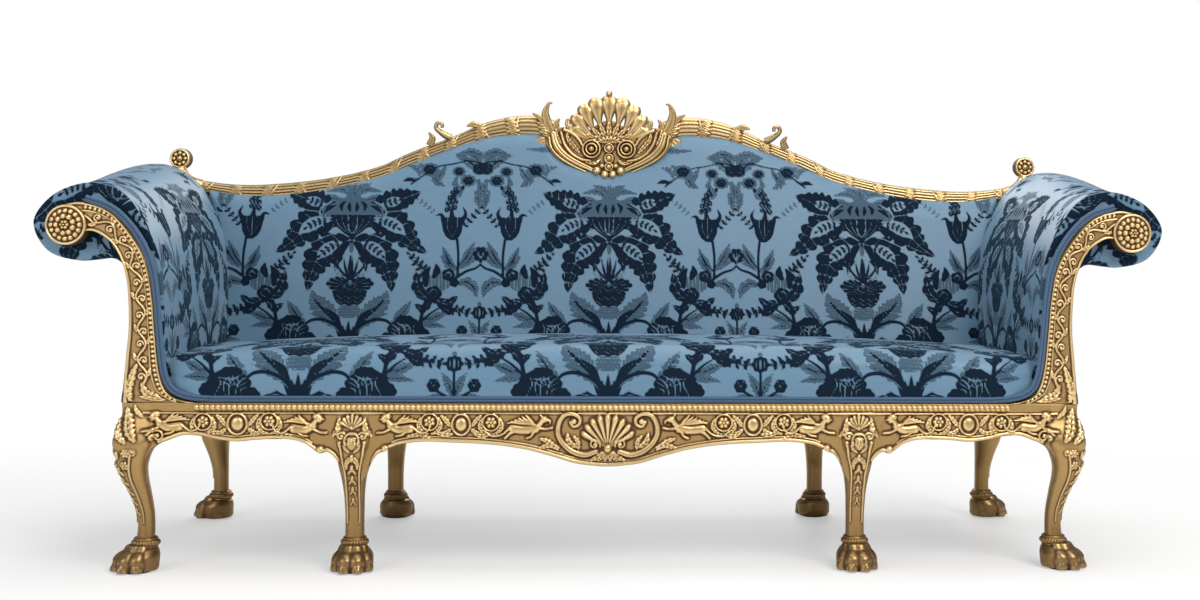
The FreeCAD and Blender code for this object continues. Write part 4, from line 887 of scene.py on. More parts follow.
def drawCanopy(w):
    # loose leaves and a flower under the crest
    for points, wide in (([(168, 150), (160, 166), (146, 178)], 9),
                         ([(178, 148), (192, 132), (208, 122)], 12),
                         ([(293, 152), (268, 178), (234, 194)], 15),
                         ([(294, 166), (282, 188), (258, 208)], 12),
                         ([(252, 124), (240, 106), (222, 94)], 12),
                         ([(278, 112), (286, 90), (290, 66)], 11),
                         ([(150, 140), (132, 136), (118, 142)], 7)):
        w.blade(points, [3, wide, 2], "loops", 5, 0.24, 5.6)
    w.disc(290, 166, 20, 15, lobes=7)
    w.clear([(284, 176), (279, 166), (283, 157)], [0.9])


def drawMirrorAxis(w):
    # the fruit and buds low on the mirror axis, and the garland high on it
    w.disc(295, -176, 17, 17, lobes=8)
    w.disc(295, -156, 5, 6, "loops")
    for x in (289, 295):
        w.clear([(x, -162), (x - 2, -176), (x, -190)], [0.5, 0.9, 0.5])
    w.blade([(295, -192), (295, -250)], [2.2])
    w.disc(256, -218, 13, 14, lobes=6)
    w.clear([(250, -208), (256, -220), (262, -208)], [0.8])
    w.blade([(262, -228), (280, -240), (292, -250)], [2, 2.4, 2])
    w.blade([(294, -244), (284, -214), (270, -192)], [4, 12, 1], "loops", 5, 0.25, 5.6)
    w.blade([(294, -248), (272, -238), (240, -240)], [3, 8, 1], "loops", 5, 0.25, 5.3)
    w.blade([(295, 196), (268, 206), (232, 200)], [8, 12, 2], "loops", 7, 0.3, 5.6)
    w.blade([(295, 178), (262, 184), (226, 176), (188, 168), (150, 142), (130, 126)], [1.6])
    w.blade([(262, 184), (250, 196), (226, 196)], [3, 8, 1], "loops", 5, 0.25, 5.3)
    for x, y, r in ((262, 136, 13), (240, 158, 11), (172, 162, 15), (284, 160, 9)):
        w.disc(x, y, r, r * 0.85, lobes=6)
        w.disc(x, y, r * 1.5, r * 1.2, "loops", lobes=9)
        w.clear([(x - r * 0.5, y - r * 0.3), (x, y + r * 0.3), (x + r * 0.6, y)], [0.8])
    w.blade([(286, 136), (292, 112), (288, 92)], [5, 10, 3], "loops", 0, 0.3, 4.7)
    w.blade([(210, 172), (196, 148), (176, 134)], [3, 11, 2], "loops", 5, 0.25, 5.3)
    w.blade([(236, 146), (232, 128), (246, 118)], [3, 9, 2], "loops", 4, 0.25, 5.3)
    w.blade([(150, 146), (140, 166), (118, 172)], [3, 9, 1], "loops", 4, 0.25, 5.3)
    w.blade([(140, 134), (128, 138), (112, 134)], [2, 5, 1])
    # the plain field above the palmette, before the pattern begins again
    w.blade([(0, 168), (34, 186), (82, 188), (112, 204)], [3, 9, 8, 1], "loops", 9, 0.3, 5.9)
    w.blade([(0, 196), (22, 214), (20, 240)], [4, 9, 1], "loops", 5, 0.3, 5.6)
    w.blade([(60, 236), (92, 228), (140, 214), (196, 214)], [1, 8, 9, 2], "loops", 9, 0.3, 5.9)
    w.sprig([(90, 206), (116, 226), (148, 236)], 4, 8, 3.0)


weaving = Weaving()
for draw in (drawPalmette, drawBase, drawSideFlower, drawTulip, drawCanopy, drawMirrorAxis):
    draw(weaving)
print("damask drawn")

# the soft pieces: seat, back and arms as stuffed pads, each carrying its own measure of cloth
# rows run along one edge and columns across; "cloth" is the place on the cloth in mm

rake = {"slope": math.tan(math.radians(6.6)), "foot": 325}  # the back leans from this height up, mm
crestLow = np.array([(0, 800), (60, 814), (103, 829), (128, 849), (148, 879), (173, 888), (223, 888),
                     (286, 879),
                     (348, 859), (409, 834), (471, 806), (526, 781), (584, 765), (642, 751), (701, 740),
                     (759, 733), (817, 731), (875, 735), (934, 745), (990, 756)], float)
crestTop = np.array([(98, 908), (130, 929), (162, 939), (199, 940), (237, 936), (275, 927), (312, 914),
                     (349, 896),
                     (387, 880), (424, 866), (473, 846), (528, 819), (587, 801), (646, 788), (704, 779),
                     (762, 773), (821, 769), (879, 770), (938, 777), (990, 786)], float)


def leaned(y, z):
    # depth of a raked plane: y at the foot, further back by the slope with every mm of height
    return y + (z - rake["foot"]) * rake["slope"]


def clothOf(u, v):
    return joined(u, v, 0 * u)


def withDesign(u, v):
    found = weaving.read(np.ravel(u), np.ravel(v))
    return {"pile": found["pile"].reshape(np.shape(u))[..., None],
            "loops": found["loops"].reshape(np.shape(u))[..., None], "cloth": clothOf(u, v)}


def arcOf(points, axis):
    # running length along one direction of a grid
    step = np.linalg.norm(np.diff(points, axis=axis), axis=2)
    pad = [(0, 0), (0, 0)]
    pad[axis] = (1, 0)
    return np.cumsum(np.pad(step, pad), axis=axis)


seatValues = {
    "crown": 443, "sideFall": 24, "frontRound": 40, "sideRound": 40, "front": -342, "rear": 214,
    "halfWidth": 864, "dimple": 0.8,  # mm of unevenness under the cloth
}


def makeSeat():
    # height = crown less a slow fall to the sides, front and rear, with a quarter circle at the sides;
    # the front edge is a quarter circle above an upright boxing that follows the rail and the facings
    v = seatValues
    x = np.linspace(-v["halfWidth"], v["halfWidth"], 540)
    side = np.abs(x)
    low = np.interp(side, [0, 756, 783, 812, 835, 850, 864], [327, 327, 329, 335, 346, 366, 384])
    front = v["front"] + 22 * smoothStep(770, 860, side)
    falling = v["sideFall"] * (side / 830) ** 2.6
    near = np.clip((side - (v["halfWidth"] - v["sideRound"])) / v["sideRound"], 0, 1)
    falling = falling + 36 * (1 - np.sqrt(1 - near ** 2))
    top = v["crown"] - 6 - falling
    r = np.minimum(v["frontRound"], 0.75 * (top - low))
    share = np.linspace(0, 1, 26)[:, None]
    boxing = joined(x, front - 3 * np.sin(np.pi * share), low + (top - r - low) * share)
    turn = np.linspace(0, np.pi / 2, 18)[1:, None]
    curl = joined(x, front + r * (1 - np.cos(turn)), top - r + r * np.sin(turn))
    run = np.linspace(0, 1, 150)[1:, None]
    y = front + r + (v["rear"] - front - r) * run
    fall = np.where(y > -60, 15 * ((y + 60) / 258) ** 2, 0)
    rise = 6 * np.sin(np.pi * np.clip((y + 300) / 480, 0, 1))
    uneven = v["dimple"] * np.sin(x / 61) * np.sin(y / 47)
    crown = joined(x, y, top + rise - fall + uneven)
    turn = np.linspace(0, np.pi / 2, 7)[1:, None]
    rear = joined(x, v["rear"] + 10 * np.sin(turn), crown[-1:, :, 2] - 12 + 12 * np.cos(turn))
    under = np.stack([joined(x, v["rear"] + 10, 333.0), joined(x, v["front"] + 40, np.minimum(low, 333.0))])
    ring = np.concatenate([boxing, curl, crown, rear, under])
    length = arcOf(ring, 0)
    design = {key: value.transpose(1, 0, 2) for key,
              value in withDesign(ring[..., 0], length - 250).items()}
    shape = Shape().tube(ring.transpose(1, 0, 2), flip=True, **design)
    seat = shape.piece("seat_upholstery", damask, "damask", ("seat_cover", "seat_stuffing"))
    return seat


backValues = {
    "seatLine": 429, "frontLow": 198, "frontHigh": 300, "edgeRound": 46, "sink": 26, "halfWidth": 921,
    "origin": 649,  # the height where the palmette springs
    "plane": 276, "slope": 12.5,  # degrees: the lean of the front face, along which the cloth is measured
    "tall": 461, "belly": 5,
}


def makeBack():
    # front face leans back with height and rolls in by a quarter ellipse towards the crest and the sides
    v = backValues
    x = np.linspace(-v["halfWidth"], v["halfWidth"], 580)
    side = np.abs(x)
    high = np.interp(side, crestLow[:, 0], crestLow[:, 1]) + 12
    low = np.full_like(x, 338.0)
    t = np.linspace(0, 1, 180)[:, None]
    z = low + (high - low) * t
    face = v["frontLow"] + (v["frontHigh"] - v["frontLow"]) * np.clip((z - v["seatLine"]) / v["tall"],
                                                                      -0.05, 1.1)
    gap = np.minimum(high - z, v["halfWidth"] - side + 4)
    near = 1 - np.clip(gap / v["edgeRound"], 0, 1)
    plane = leaned(v["plane"], z)
    sink = v["sink"] * (1 - np.sqrt(1 - near ** 2))
    belly = v["belly"] * np.sin(np.pi * np.clip((z - 380) / 480, 0, 1)) * np.cos(x / 620)
    y = np.minimum(face + sink - belly, plane - 6)
    front = joined(x, y, z)
    behind = joined(x, plane, z)[::-12]
    ring = np.concatenate([front, behind])
    up = (z - v["origin"]) / math.cos(math.radians(v["slope"])) + 0 * x
    up = np.concatenate([up, up[::-12]])
    design = {key: value.transpose(1, 0, 2) for key, value in withDesign(ring[..., 0] - 2, up).items()}
    shape = Shape().tube(ring.transpose(1, 0, 2), flip=True, **design)
    back = shape.piece("back_upholstery", damask, "damask", ("back_cover", "back_stuffing"))
    return back


armFront = [(851, 325), (851, 420), (852, 500), (857, 575), (882, 652), (928, 722), (995, 743), (1060, 719),
            (1099, 668), (1072, 612), (1010, 593), (945, 597), (914, 560), (905, 500), (905, 420),
            (905, 326)]
armBack = [(857, 325), (859, 420), (861, 500), (869, 600), (893, 690), (945, 772), (1020, 813), (1090, 793),
           (1126, 722), (1105, 655), (1045, 622), (960, 612), (914, 566), (905, 500), (905, 420),
           (905, 326)]
armValues = {"front": -306.0, "rear": 276, "origin": 560, "shift": 40, "swell": 4}


def makeArm(sign, word):
    # the section at the facing blends into the section at the back post along a slow curve
    v = armValues
    first, run = evenLine(armFront, 330, per=12)
    last, run = evenLine(armBack, 330, per=12)
    t = np.linspace(0, 1, 190)[:, None]
    blend = smoothStep(0.0, 1.0, t) * 0.5 + t * 0.5
    section = first[None] * (1 - blend[..., None]) + last[None] * blend[..., None]
    y = v["front"] + (v["rear"] - v["front"]) * t + 0 * section[..., 0]
    swell = v["swell"] * np.sin(np.pi * t)
    points = joined(sign * section[..., 0], y, section[..., 1] + swell * (section[..., 1] > 600))
    length = arcOf(points, 1)
    # both ends close on the pad's own middle line, half way between facing points of the section
    ends = []
    for edge, way, bulge in ((points[:1], -1, 8.0), (points[-1:], 1, 14.0)):
        middle = (edge + edge[:, ::-1]) / 2
        rim = np.cos(np.linspace(0, np.pi / 2, 6)[1:]) * 0.16 + 0.84
        s = np.concatenate([rim, np.linspace(0.8, 0.0, 26)])[:, None]
        rows = middle[0] + (edge[0] - middle[0]) * s[..., None]
        out = np.sqrt(np.clip(1 - np.clip((s - 0.84) / 0.16, 0, 1) ** 2, 0, 1))
        rows = rows + np.array([0.0, way * bulge, 0.0]) * out[..., None]
        ends.append(rows)
    first = withDesign(ends[0][..., 0] * sign - 940, ends[0][..., 2] - 700)
    last = withDesign(ends[1][..., 0], ends[1][..., 2] - 700)
    middle = withDesign(y - v["shift"], length + 325 - v["origin"] - 90)
    design = {key: np.concatenate([first[key][::-1], middle[key], last[key]]) for key in middle}
    points = np.concatenate([ends[0][::-1], points, ends[1]])
    shape = Shape().grid(points, closeCols=True, flip=sign > 0, **design)
    arm = shape.piece("arm_upholstery_" + word, damask, "damask",
                      ("arm_cover_" + word, "arm_stuffing_" + word))
    return arm


endValues = {"x": 1031, "z": 709.5, "radius": 84, "front": 290, "rear": 339}


def makeArmEnd(sign, word):
    # cloth drawn over the round end of the arm behind: a disc with a soft rim
    v = endValues
    turn = np.linspace(0, 2 * np.pi, 120, endpoint=False)[None]
    rim = 0.9 + 0.1 * np.sin(np.linspace(0, np.pi / 2, 7)[1:])
    share = np.concatenate([np.linspace(0.02, 0.9, 30), rim])[:, None]
    drop = np.sqrt(np.clip(1 - np.clip((share - 0.9) / 0.1, 0, 1) ** 2, 0, 1))
    x = sign * (v["x"] + v["radius"] * share * np.cos(turn))
    z = v["z"] + v["radius"] * share * np.sin(turn)
    face = joined(x, v["rear"] - 9 + 9 * drop, z)
    wall = np.stack([joined(x[-1], y, z[-1]) for y in (315.0, v["front"])])
    points = np.concatenate([face, wall])
    design = withDesign(points[..., 0], points[..., 2] - 700)
    shape = Shape().tube(points, flip=sign < 0, **design)
    end = shape.piece("arm_end_" + word, damask, "damask", ("arm_back_stump_" + word,))
    return end


gimpValues = {"width": 13.0, "proud": 3.6, "face": -342.6, "back": -340.5}


def makeGimp():
    # a flattened band: half an ellipse over its width, swept along the rail and up each facing
    v = gimpValues
    front = [(-756, 332.5), (-560, 332.5), (0, 332.5), (560, 332.5), (756, 332.5)]
    edge = [(756, 333), (786, 335), (815, 343), (834, 360), (845, 396), (852, 464), (857, 526), (868, 590),
            (894, 645), (938, 692), (990, 712)]
    shape = Shape()
    for points, sign in ((front, 1), (edge, 1), (edge, -1)):
        line, run = evenLine(np.array(points) * (sign, 1), 320)
        way = np.gradient(line, axis=0)
        way = way / np.linalg.norm(way, axis=1, keepdims=True)
        side = joined(-way[:, 1], way[:, 0])
        across = np.linspace(-1, 1, 13)
        flat = line[:, None] + side[:, None] * (across * v["width"] / 2)[None, :, None]
        arch = np.sqrt(np.clip(1 - across ** 2, 0, 1))
        lift = v["proud"] * arch * (1 - 0.45 * np.exp(-(across / 0.16) ** 2))
        face = joined(flat[..., 0], v["face"] - lift, flat[..., 1])
        back = joined(flat[..., 0], v["back"], flat[..., 1])[:, ::-4]
        ring = np.concatenate([face, back], axis=1)
        along = np.linspace(0, run, 320)[:, None] + np.zeros(ring.shape[1])
        wide = np.concatenate([across, across[::-4]])[None] + 0 * along
        shape.tube(ring, cloth=clothOf(along, wide))
    return shape.piece("gimp_braid", braid, "braid", ("gimp",))


outsideValues = {"half": 957, "low": 328, "plane": 286, "proud": 1.5, "hollow": 2.0}


def makeOutsideBack():
    # the stretched cloth behind: one layer over the leaning frame, a little hollow between the posts
    v = outsideValues
    x = np.linspace(-v["half"], v["half"], 360)
    side = np.abs(x)
    high = np.interp(side, crestLow[:, 0], crestLow[:, 1]) + 8
    high = np.where(side < 150, 878, high) - 4
    t = np.linspace(0, 1, 112)[:, None]
    z = v["low"] + (high - v["low"]) * t
    hollow = v["hollow"] * np.sin(np.pi * t) * np.abs(np.sin(np.pi * x / v["half"]))
    y = leaned(v["plane"], z) + v["proud"] - hollow
    points = joined(x, y, z)
    shape = Shape().grid(points, **withDesign(points[..., 0], z - backValues["origin"] + 0 * x))
    sheet = shape.piece("outside_back", damask, "damask", ("outside_back_cover",), inward=True)
    return sheet


dustValues = {"half": 888, "rear": 267, "front": -312, "level": 266, "sag": 3.0}


def makeDustCloth():
    # the dark cotton tacked under the rails: each field sinks by its share of the sag,
    # the size of a sine across the cross rails, times a sine from front to back
    v = dustValues
    x = np.linspace(-v["half"], v["half"], 120)
    y = np.linspace(v["rear"], v["front"], 40)[:, None]
    sag = v["sag"] * np.abs(np.sin(np.pi * x / v["half"] * 1.5))
    sag = sag * np.sin(np.pi * (v["rear"] - y) / (v["rear"] - v["front"]))
    points = joined(x, y, v["level"] - sag)
    sheet = Shape().grid(points).piece("dust_cloth", dustCotton, "dust_cloth", ("bottom_cloth",))
    return sheet


makeSeat()
makeBack()
for sign, word in ((-1, "left"), (1, "right")):
    makeArm(sign, word)
    makeArmEnd(sign, word)
makeGimp()
makeOutsideBack()
makeDustCloth()
print("upholstery ready")

# carved wood: panels between two edge lines, their faces raised by a carving, wrapped round to a flat back

frontPlane, crestPlane, sidePlane = -343.0, 268.25, 920.5
railTop = 324.5


def facing(x, z, high):
    return joined(x, frontPlane - high, z)


def sideways(sign):
    return lambda a, z, high: joined(sign * (sidePlane + high), a, z)


def leaning(x, z, high):
    # the raked plane of the crest
    return joined(x, leaned(crestPlane, z) - high, z)


def addPanel(shape, lowLine, highLine, count, across, draw, put, back, body=None, edge=2.0, flip=False):
    # rows follow the edges at equal steps; the rim falls away over its last 2 mm
    low, run = evenLine(lowLine, count, per=9)
    high, run = evenLine(highLine, count, per=9)
    t = np.linspace(0, 1, across)[None, :, None]
    flat = low[:, None] * (1 - t) + high[:, None] * t
    x, z = flat[..., 0], flat[..., 1]
    width = np.linalg.norm(high - low, axis=1)[:, None]
    carve = Carving(x, z)
    draw(carve)
    raised = carve.heights()
    rim = np.minimum(np.minimum(t[..., 0], 1 - t[..., 0]) * width / edge, 1)
    if body is not None:
        raised = raised + body(x, z, t[..., 0], np.linspace(0, run, count)[:, None])
    # painted shade and toning in the hollows of the carving
    hollow = creviceOf(raised, 3)
    raised = raised - edge * 0.7 * (1 - np.sqrt(np.clip(rim * (2 - rim), 0, 1)))
    face = put(x, z, raised)
    ends = [put(x[:, -1:], z[:, -1:], np.full((count, 1), -back)),
            put(x[:, :1], z[:, :1], np.full((count, 1), -back))]
    ring = np.concatenate([face] + ends, axis=1)
    shadeAndToning = np.concatenate([hollow, np.zeros((count, 2))], axis=1)[..., None]
    shape.tube(ring, flip=flip, crevice=shadeAndToning)
    return shape


def addDisc(shape, x, z, radius, high, draw, put, back, rings=26, around=96, flip=False, bulge=6):
    # a turned boss: circles widening from the middle, a rolled rim, then down to the back
    reach = radius * np.linspace(0.02, 1, rings)[:, None]
    angle = np.linspace(0, 2 * np.pi, around, endpoint=False)[None]
    px, pz = reach * np.cos(angle), reach * np.sin(angle)
    carve = Carving(px, pz)
    draw(carve)
    raised = carve.heights() + high * np.sqrt(np.clip(1 - (reach / radius) ** bulge, 0, 1))
    # painted shade and toning in the hollows of the carving
    hollow = creviceOf(raised, 2, closeCols=True)
    face = put(x + px, z + pz, raised)
    last = put(x + px[-1:], z + pz[-1:], np.full((1, around), -back))
    ring = np.concatenate([face, last])
    shadeAndToning = np.concatenate([hollow, hollow[-1:]])[..., None]
    shape.tube(ring, flip=flip, crevice=shadeAndToning)
    return shape


def addTube(shape, points, wide, thick, sign=1, around=12, rows=26, ridge=0.0):
    # a stem or leaf: an oval section swept along a line in space, half width and thickness given by share
    line = evenLine(np.array(points) * (sign, 1, 1), rows, per=9)[0]
    way = np.gradient(line, axis=0)
    way = way / np.linalg.norm(way, axis=1, keepdims=True)
    face = np.array([0.0, -1.0, -0.12])
    side = np.cross(way, face)
    side = side / np.maximum(np.linalg.norm(side, axis=1, keepdims=True), 1e-6)
    up = np.cross(side, way)
    w, d = (spread(np.linspace(0, 1, rows), stops)[:, None, None] for stops in (wide, thick))
    angle = np.linspace(0, 2 * np.pi, around, endpoint=False)[None, :, None]
    groove = 1 - ridge * np.exp(-(np.cos(angle) / 0.3) ** 2) * (np.sin(angle) > 0)
    ring = line[:, None] + side[:, None] * w * np.cos(angle) + up[:, None] * d * np.sin(angle) * groove
    # painted shade: darker on the back of the section, away from the front, and in the groove; lighter on
    # the front
    shadeAndToning = (0.25 - 0.7 * np.sin(angle) + 0.5 * (groove < 0.8)) + 0 * w
    shape.tube(ring, crevice=shadeAndToning)
    return shape


# the frieze on the front rail, drawn once for both halves: x is the distance from the middle

frieze = {"relief": 6.2, "step": 1.45, "back": -313.2, "fillet": 305.5}  # mm


def drawScrollRosette(c, radius, high, turn=0.0):
    for half in c.halves():
        half.leaf([(radius + 1, 8), (radius + 5, -8), (radius - 4, -radius - 4), (2, -radius - 7)], 5.6,
                  high * 0.85, 6)
    c.ring(0, 0, radius, radius, 1.8, high * 0.85)
    c.rosette(0, 0, radius * 0.74, high, 6, turn)


def drawGriffin(c, high):
    # lion body, bent neck, beak, ear, four legs and a curling tail; then the head and the raised wing
    for points, widths, share in (
            ([(46, -6), (22, -8), (2, -5)], [9, 9, 10], 1),
            ([(0, -6), (-9, 6), (-13, 14)], [7.5, 5.4, 5.0], 1),
            ([(-20, 12), (-26, 9), (-26, 5)], [3.8, 1.4], 0.95), ([(-11, 17), (-7, 21)], [2.2, 1.0], 0.85),
            ([(-4, -4), (-18, -6), (-30, -4)], [4, 2.8, 2.6], 0.9),
            ([(4, -10), (10, -20), (18, -24)], [4, 2.6, 2.8], 0.9),
            ([(42, -8), (52, -16), (60, -24)], [6.5, 3.6, 3.0], 0.92),
            ([(50, -3), (64, -16), (84, -20), (98, -10)], [3.0, 2.4, 2.2], 0.8)):
        c.stem(points, widths, high * share)
    c.dome(-15, 12, 8.2, 7.0, high * 1.15)
    for k in range(6):
        c.stem([(4 + 2 * k, 2), (12 + 6 * k, 11 - k), (20 + 7 * k, 20 - 3 * k)], [2.8, 3.8, 1.8],
               high * (0.95 - 0.05 * k))


def drawSphinx(c, high):
    # body, neck, a plain rounded profile, legs and tail; then head, hair, wing and a leaf behind
    for points, widths, share in (
            ([(-6, -6), (14, -8), (30, -1)], [9, 9, 8.5], 1), ([(30, 0), (38, 12)], [6.5, 4.4], 1),
            ([(48, 13), (51, 11)], [1.6, 1.1], 1.1),
            ([(28, -4), (42, -12), (56, -14)], [4.2, 2.8, 2.6], 0.9),
            ([(-2, -6), (8, -17), (20, -20)], [5, 3.0, 2.6], 0.9),
            ([(-10, -2), (-26, -14), (-40, -10), (-46, 4)], [3.0, 2.2, 2.0], 0.8)):
        c.stem(points, widths, high * share)
    c.dome(42, 13, 7.8, 8.8, high * 1.15)
    c.dome(38, 17, 9.0, 7.0, high * 1.05)
    for k in range(5):
        c.stem([(20 + 2 * k, 2), (10 - 3 * k, 12 - k), (4 - 7 * k, 19 - 3 * k)], [2.8, 3.8, 1.7],
               high * (0.95 - 0.05 * k))
    c.leaf([(-24, -12), (-36, -24), (-52, -26)], 7, high * 0.7, 4)


def drawOval(c, wide, tall, high):
    c.ring(0, 0, wide, tall, 2.2, high * 0.8)
    c.dome(0, 0, wide * 0.66, tall * 0.66, high * 0.85)
    for half in c.halves():
        half.leaf([(wide + 3, -4), (wide + 12, 8), (wide + 22, 18)], 6, high * 0.8, 4)
        half.leaf([(wide + 2, -8), (wide + 12, -16), (wide + 24, -16)], 5.5, high * 0.75, 4)


railEdge = [(0, 203), (31, 205), (65, 210), (104, 222), (153, 235), (203, 243), (251, 247), (300, 249),
            (351, 251),
            (394, 246), (412, 240), (425, 233), (438, 228), (449, 217), (457, 202), (463, 184), (471, 170)]
sideEdge = [(503, 182), (508, 199), (514, 212), (523, 224), (535, 231), (548, 229), (563, 238), (574, 246),
            (598, 254),
            (629, 256), (672, 254), (706, 251), (741, 255), (771, 262), (805, 263), (832, 254), (850, 247),
            (864, 238),
            (871, 228), (876, 216)]


def drawFrieze(c):
    h = frieze["relief"]
    c.stem([(x - 0.4 * max(0, x - 440), z + 4.2) for x, z in railEdge], [4.2], h * 0.85)
    c.stem([(x, z + 10.2) for x, z in railEdge[:-6]], [1.6], h * 0.5)
    c.stem([(x, z + 4.2) for x, z in sideEdge[2:-3]], [4.2], h * 0.85)
    c.stem([(x, z + 10.2) for x, z in sideEdge[6:-5]], [1.6], h * 0.5)
    for x, z in ((425, 237), (548, 235)):
        c.dome(x, z, 8.5, 8.5, h * 1.3)
    c.stem([(0, frieze["fillet"]), (880, frieze["fillet"])], [1.6], h * 0.5)
    # centre: shell between two great scrolls
    c.shell(0, 238, 68, 66, 9, h * 1.5)
    c.scroll(25, 246, 11, 200, -1, 1.2, 2.6, h * 1.1)
    c.dome(0, 238, 8, 9, h * 1.5)
    for aim in (-1, 0, 1):
        c.leaf([(4, 232), (12 + 8 * aim, 222), (20 + 14 * aim, 214)], 7, h * 0.9, 4)
    c.stem([(23, 232), (46, 226), (73, 236), (93, 259), (95, 282), (85, 301), (68, 305), (54, 296),
            (56, 284),
            (66, 281), (72, 289)], [5.4, 6, 6, 5.4, 5, 4.6, 4, 3.4, 3], h * 1.25, ridge=0.3)
    c.dome(65, 290, 6.5, 6.5, h * 1.3)
    # beasts, rosettes and ovals from the middle outwards, then the loose leaves between them
    drawGriffin(c.placed(137, 282), h * 1.25)
    for x, z, way in ((384, 282, 1), (592, 282, -1), (818, 286, 1)):
        drawSphinx(c.placed(x, z, way), h * 1.25)
    for x, z, turn in ((224, 288, 0.0), (341, 289, 0.4), (644, 290, 0.0), (768, 289, 0.4)):
        drawScrollRosette(c.placed(x, z), 16, h * 1.1, turn)
    for x, z, wide in ((281, 284, 17), (704, 285, 18)):
        drawOval(c.placed(x, z), wide, 20, h)
    c.scroll(852, 262, 12, 20, 1, 1.2, 2.8, h * 1.1)
    for points, width, share, lobes in (
            ([(60, 240), (74, 250), (78, 266)], 8, 1, 4), ([(56, 236), (58, 252), (66, 262)], 6, 0.9, 4),
            ([(94, 240), (112, 244), (133, 238)], 7, 0.9, 5),
            ([(96, 236), (116, 252), (131, 257)], 7, 0.9, 5),
            ([(224, 268), (240, 262), (256, 266)], 6.5, 0.9, 4),
            ([(330, 270), (312, 264), (296, 266)], 6.5, 0.9, 4),
            ([(352, 274), (366, 264), (384, 262)], 6, 0.9, 4),
            ([(452, 262), (462, 276), (464, 296)], 7, 0.9, 4),
            ([(524, 262), (514, 276), (512, 296)], 7, 0.9, 4),
            ([(634, 270), (618, 264), (600, 264)], 6.5, 0.9, 4),
            ([(656, 274), (668, 266), (680, 264)], 6, 0.9, 4),
            ([(760, 274), (744, 268), (730, 270)], 6.5, 0.9, 4),
            ([(884, 254), (900, 276), (910, 314)], 11, 1.1, 6),
            ([(902, 250), (918, 268), (924, 296)], 8, 1, 5),
            ([(880, 298), (892, 308), (896, 320)], 5, 0.9, 4)):
        c.leaf(points, width, h * share, lobes)


def makeFrontRails():
    # the face is a grid from the cut lower edge to the top, closed by a flat back
    for name, line, spans in (("center", railEdge, (-471, 471)), ("left", sideEdge, (-876, -503)),
                              ("right", sideEdge, (503, 876))):
        low = mirrored(line) if name == "center" else line
        low = np.array(low if name != "left" else [(-x, z) for x, z in line[::-1]], float)
        count = int((spans[1] - spans[0]) / frieze["step"])
        x = np.linspace(*spans, count)
        height = np.interp(x, flowLine(low)[:, 0], flowLine(low)[:, 1])
        shape = Shape()
        t = np.linspace(0, 1, 74)[None]
        px, pz = x[:, None] + 0 * t, height[:, None] * (1 - t) + railTop * t
        carve = Carving(np.abs(px), pz)
        drawFrieze(carve)
        raised = carve.heights()
        # painted shade and toning in the hollows of the carving
        hollow = creviceOf(raised, 3)
        rim = np.clip((pz - height[:, None]) / 2.5, 0, 1)
        face = facing(px, pz, raised - 2.2 * (1 - np.sqrt(rim * (2 - rim))))
        ends = [joined(x, frieze["back"], level)[:, None]
                for level in (np.full_like(x, railTop), height)]
        shadeAndToning = np.concatenate([hollow, np.zeros((count, 2))], axis=1)[..., None]
        shape.tube(np.concatenate([face] + ends, axis=1), crevice=shadeAndToning)
        shape.piece("carved_rail_" + name, gilt, "giltwood", ("front_rail_" + name,))


def drawSideFrieze(c):
    h = frieze["relief"]
    c.stem([(y, z + 4.2) for y, z in sideLow], [4.2], h * 0.85)
    c.stem([(-300, frieze["fillet"]), (256, frieze["fillet"])], [1.6], h * 0.5)
    c.stem([(-300, 318), (256, 318)], [3.4], h * 0.8)
    drawScrollRosette(c.placed(-22, 286), 17, h * 1.1)
    for way, start in ((-1, 80), (1, 100)):
        half = c.placed(-22, 0, way)
        half.stem([(18, 276), (50, 268), (84, 282), (112, 296), (140, 286), (170, 270), (206, 276),
                   (236, 294)],
                  [3.2, 2.6, 2.2], h * 0.8)
        half.scroll(62, 288, 13, 200, -1, 1.3, 2.8, h)
        half.scroll(132, 270, 12, start, 1, 1.2, 2.6, h)
        half.scroll(200, 292, 11, 200, -1, 1.2, 2.6, h)
        for foot, x, z in ((30, 46, 292), (92, 104, 268), (150, 164, 296), (222, 226, 266)):
            half.leaf([(foot, 276), (foot + 8, z - 6), (x, z)], 7, h * 0.95, 4)


sideLow = [(-298, 240), (-276, 247), (-230, 253), (-120, 257), (-22, 252), (80, 257), (190, 253),
           (234, 247), (254, 240)]


def makeSideRails():
    for sign, word in ((-1, "left"), (1, "right")):
        shape = Shape()
        top = [(y, railTop) for y, z in sideLow]
        addPanel(shape, sideLow, top, 360, 56, drawSideFrieze, sideways(sign), 29.0, flip=sign < 0)
        shape.piece("carved_side_rail_" + word, gilt, "giltwood", ("side_rail_" + word,))


beadValues = {"half": 783, "pitch": 10.2, "level": 316.5, "tall": 6.8, "face": -344.2, "back": -342.4}


def makeBeadMoulding():
    # a roll of slanting beads above the frieze, between two thin fillets
    v = beadValues
    x = np.linspace(-v["half"], v["half"], 1100)[:, None]
    t = np.linspace(-1, 1, 15)[None]
    bead = np.abs(np.sin(np.pi * (x / v["pitch"] + 0.18 * t)))
    roll = np.sqrt(np.clip(1 - (t / 0.78) ** 2, 0, 1))
    raised = 2.2 + 4.6 * roll * (0.35 + 0.65 * bead ** 0.7) * (np.abs(t) < 0.78)
    z = v["level"] + v["tall"] * t + 0 * x
    face = joined(x, v["face"] - raised, z)
    back = joined(x, v["back"], z)[:, ::-14]
    # painted shade between the beads and along the edges of the roll, and a painted highlight on the bead
    # crowns
    hollow = 0.8 * (1 - bead) + 0.7 * smoothStep(0.6, 0.8, np.abs(t)) - 0.5 + 0 * x
    shadeAndToning = np.concatenate([hollow, 0 * hollow[:, ::-14]], axis=1)[..., None]
    Shape().tube(np.concatenate([face, back], axis=1), crevice=shadeAndToning).piece(
        "bead_moulding", gilt, "giltwood", ("front_bead_moulding",))


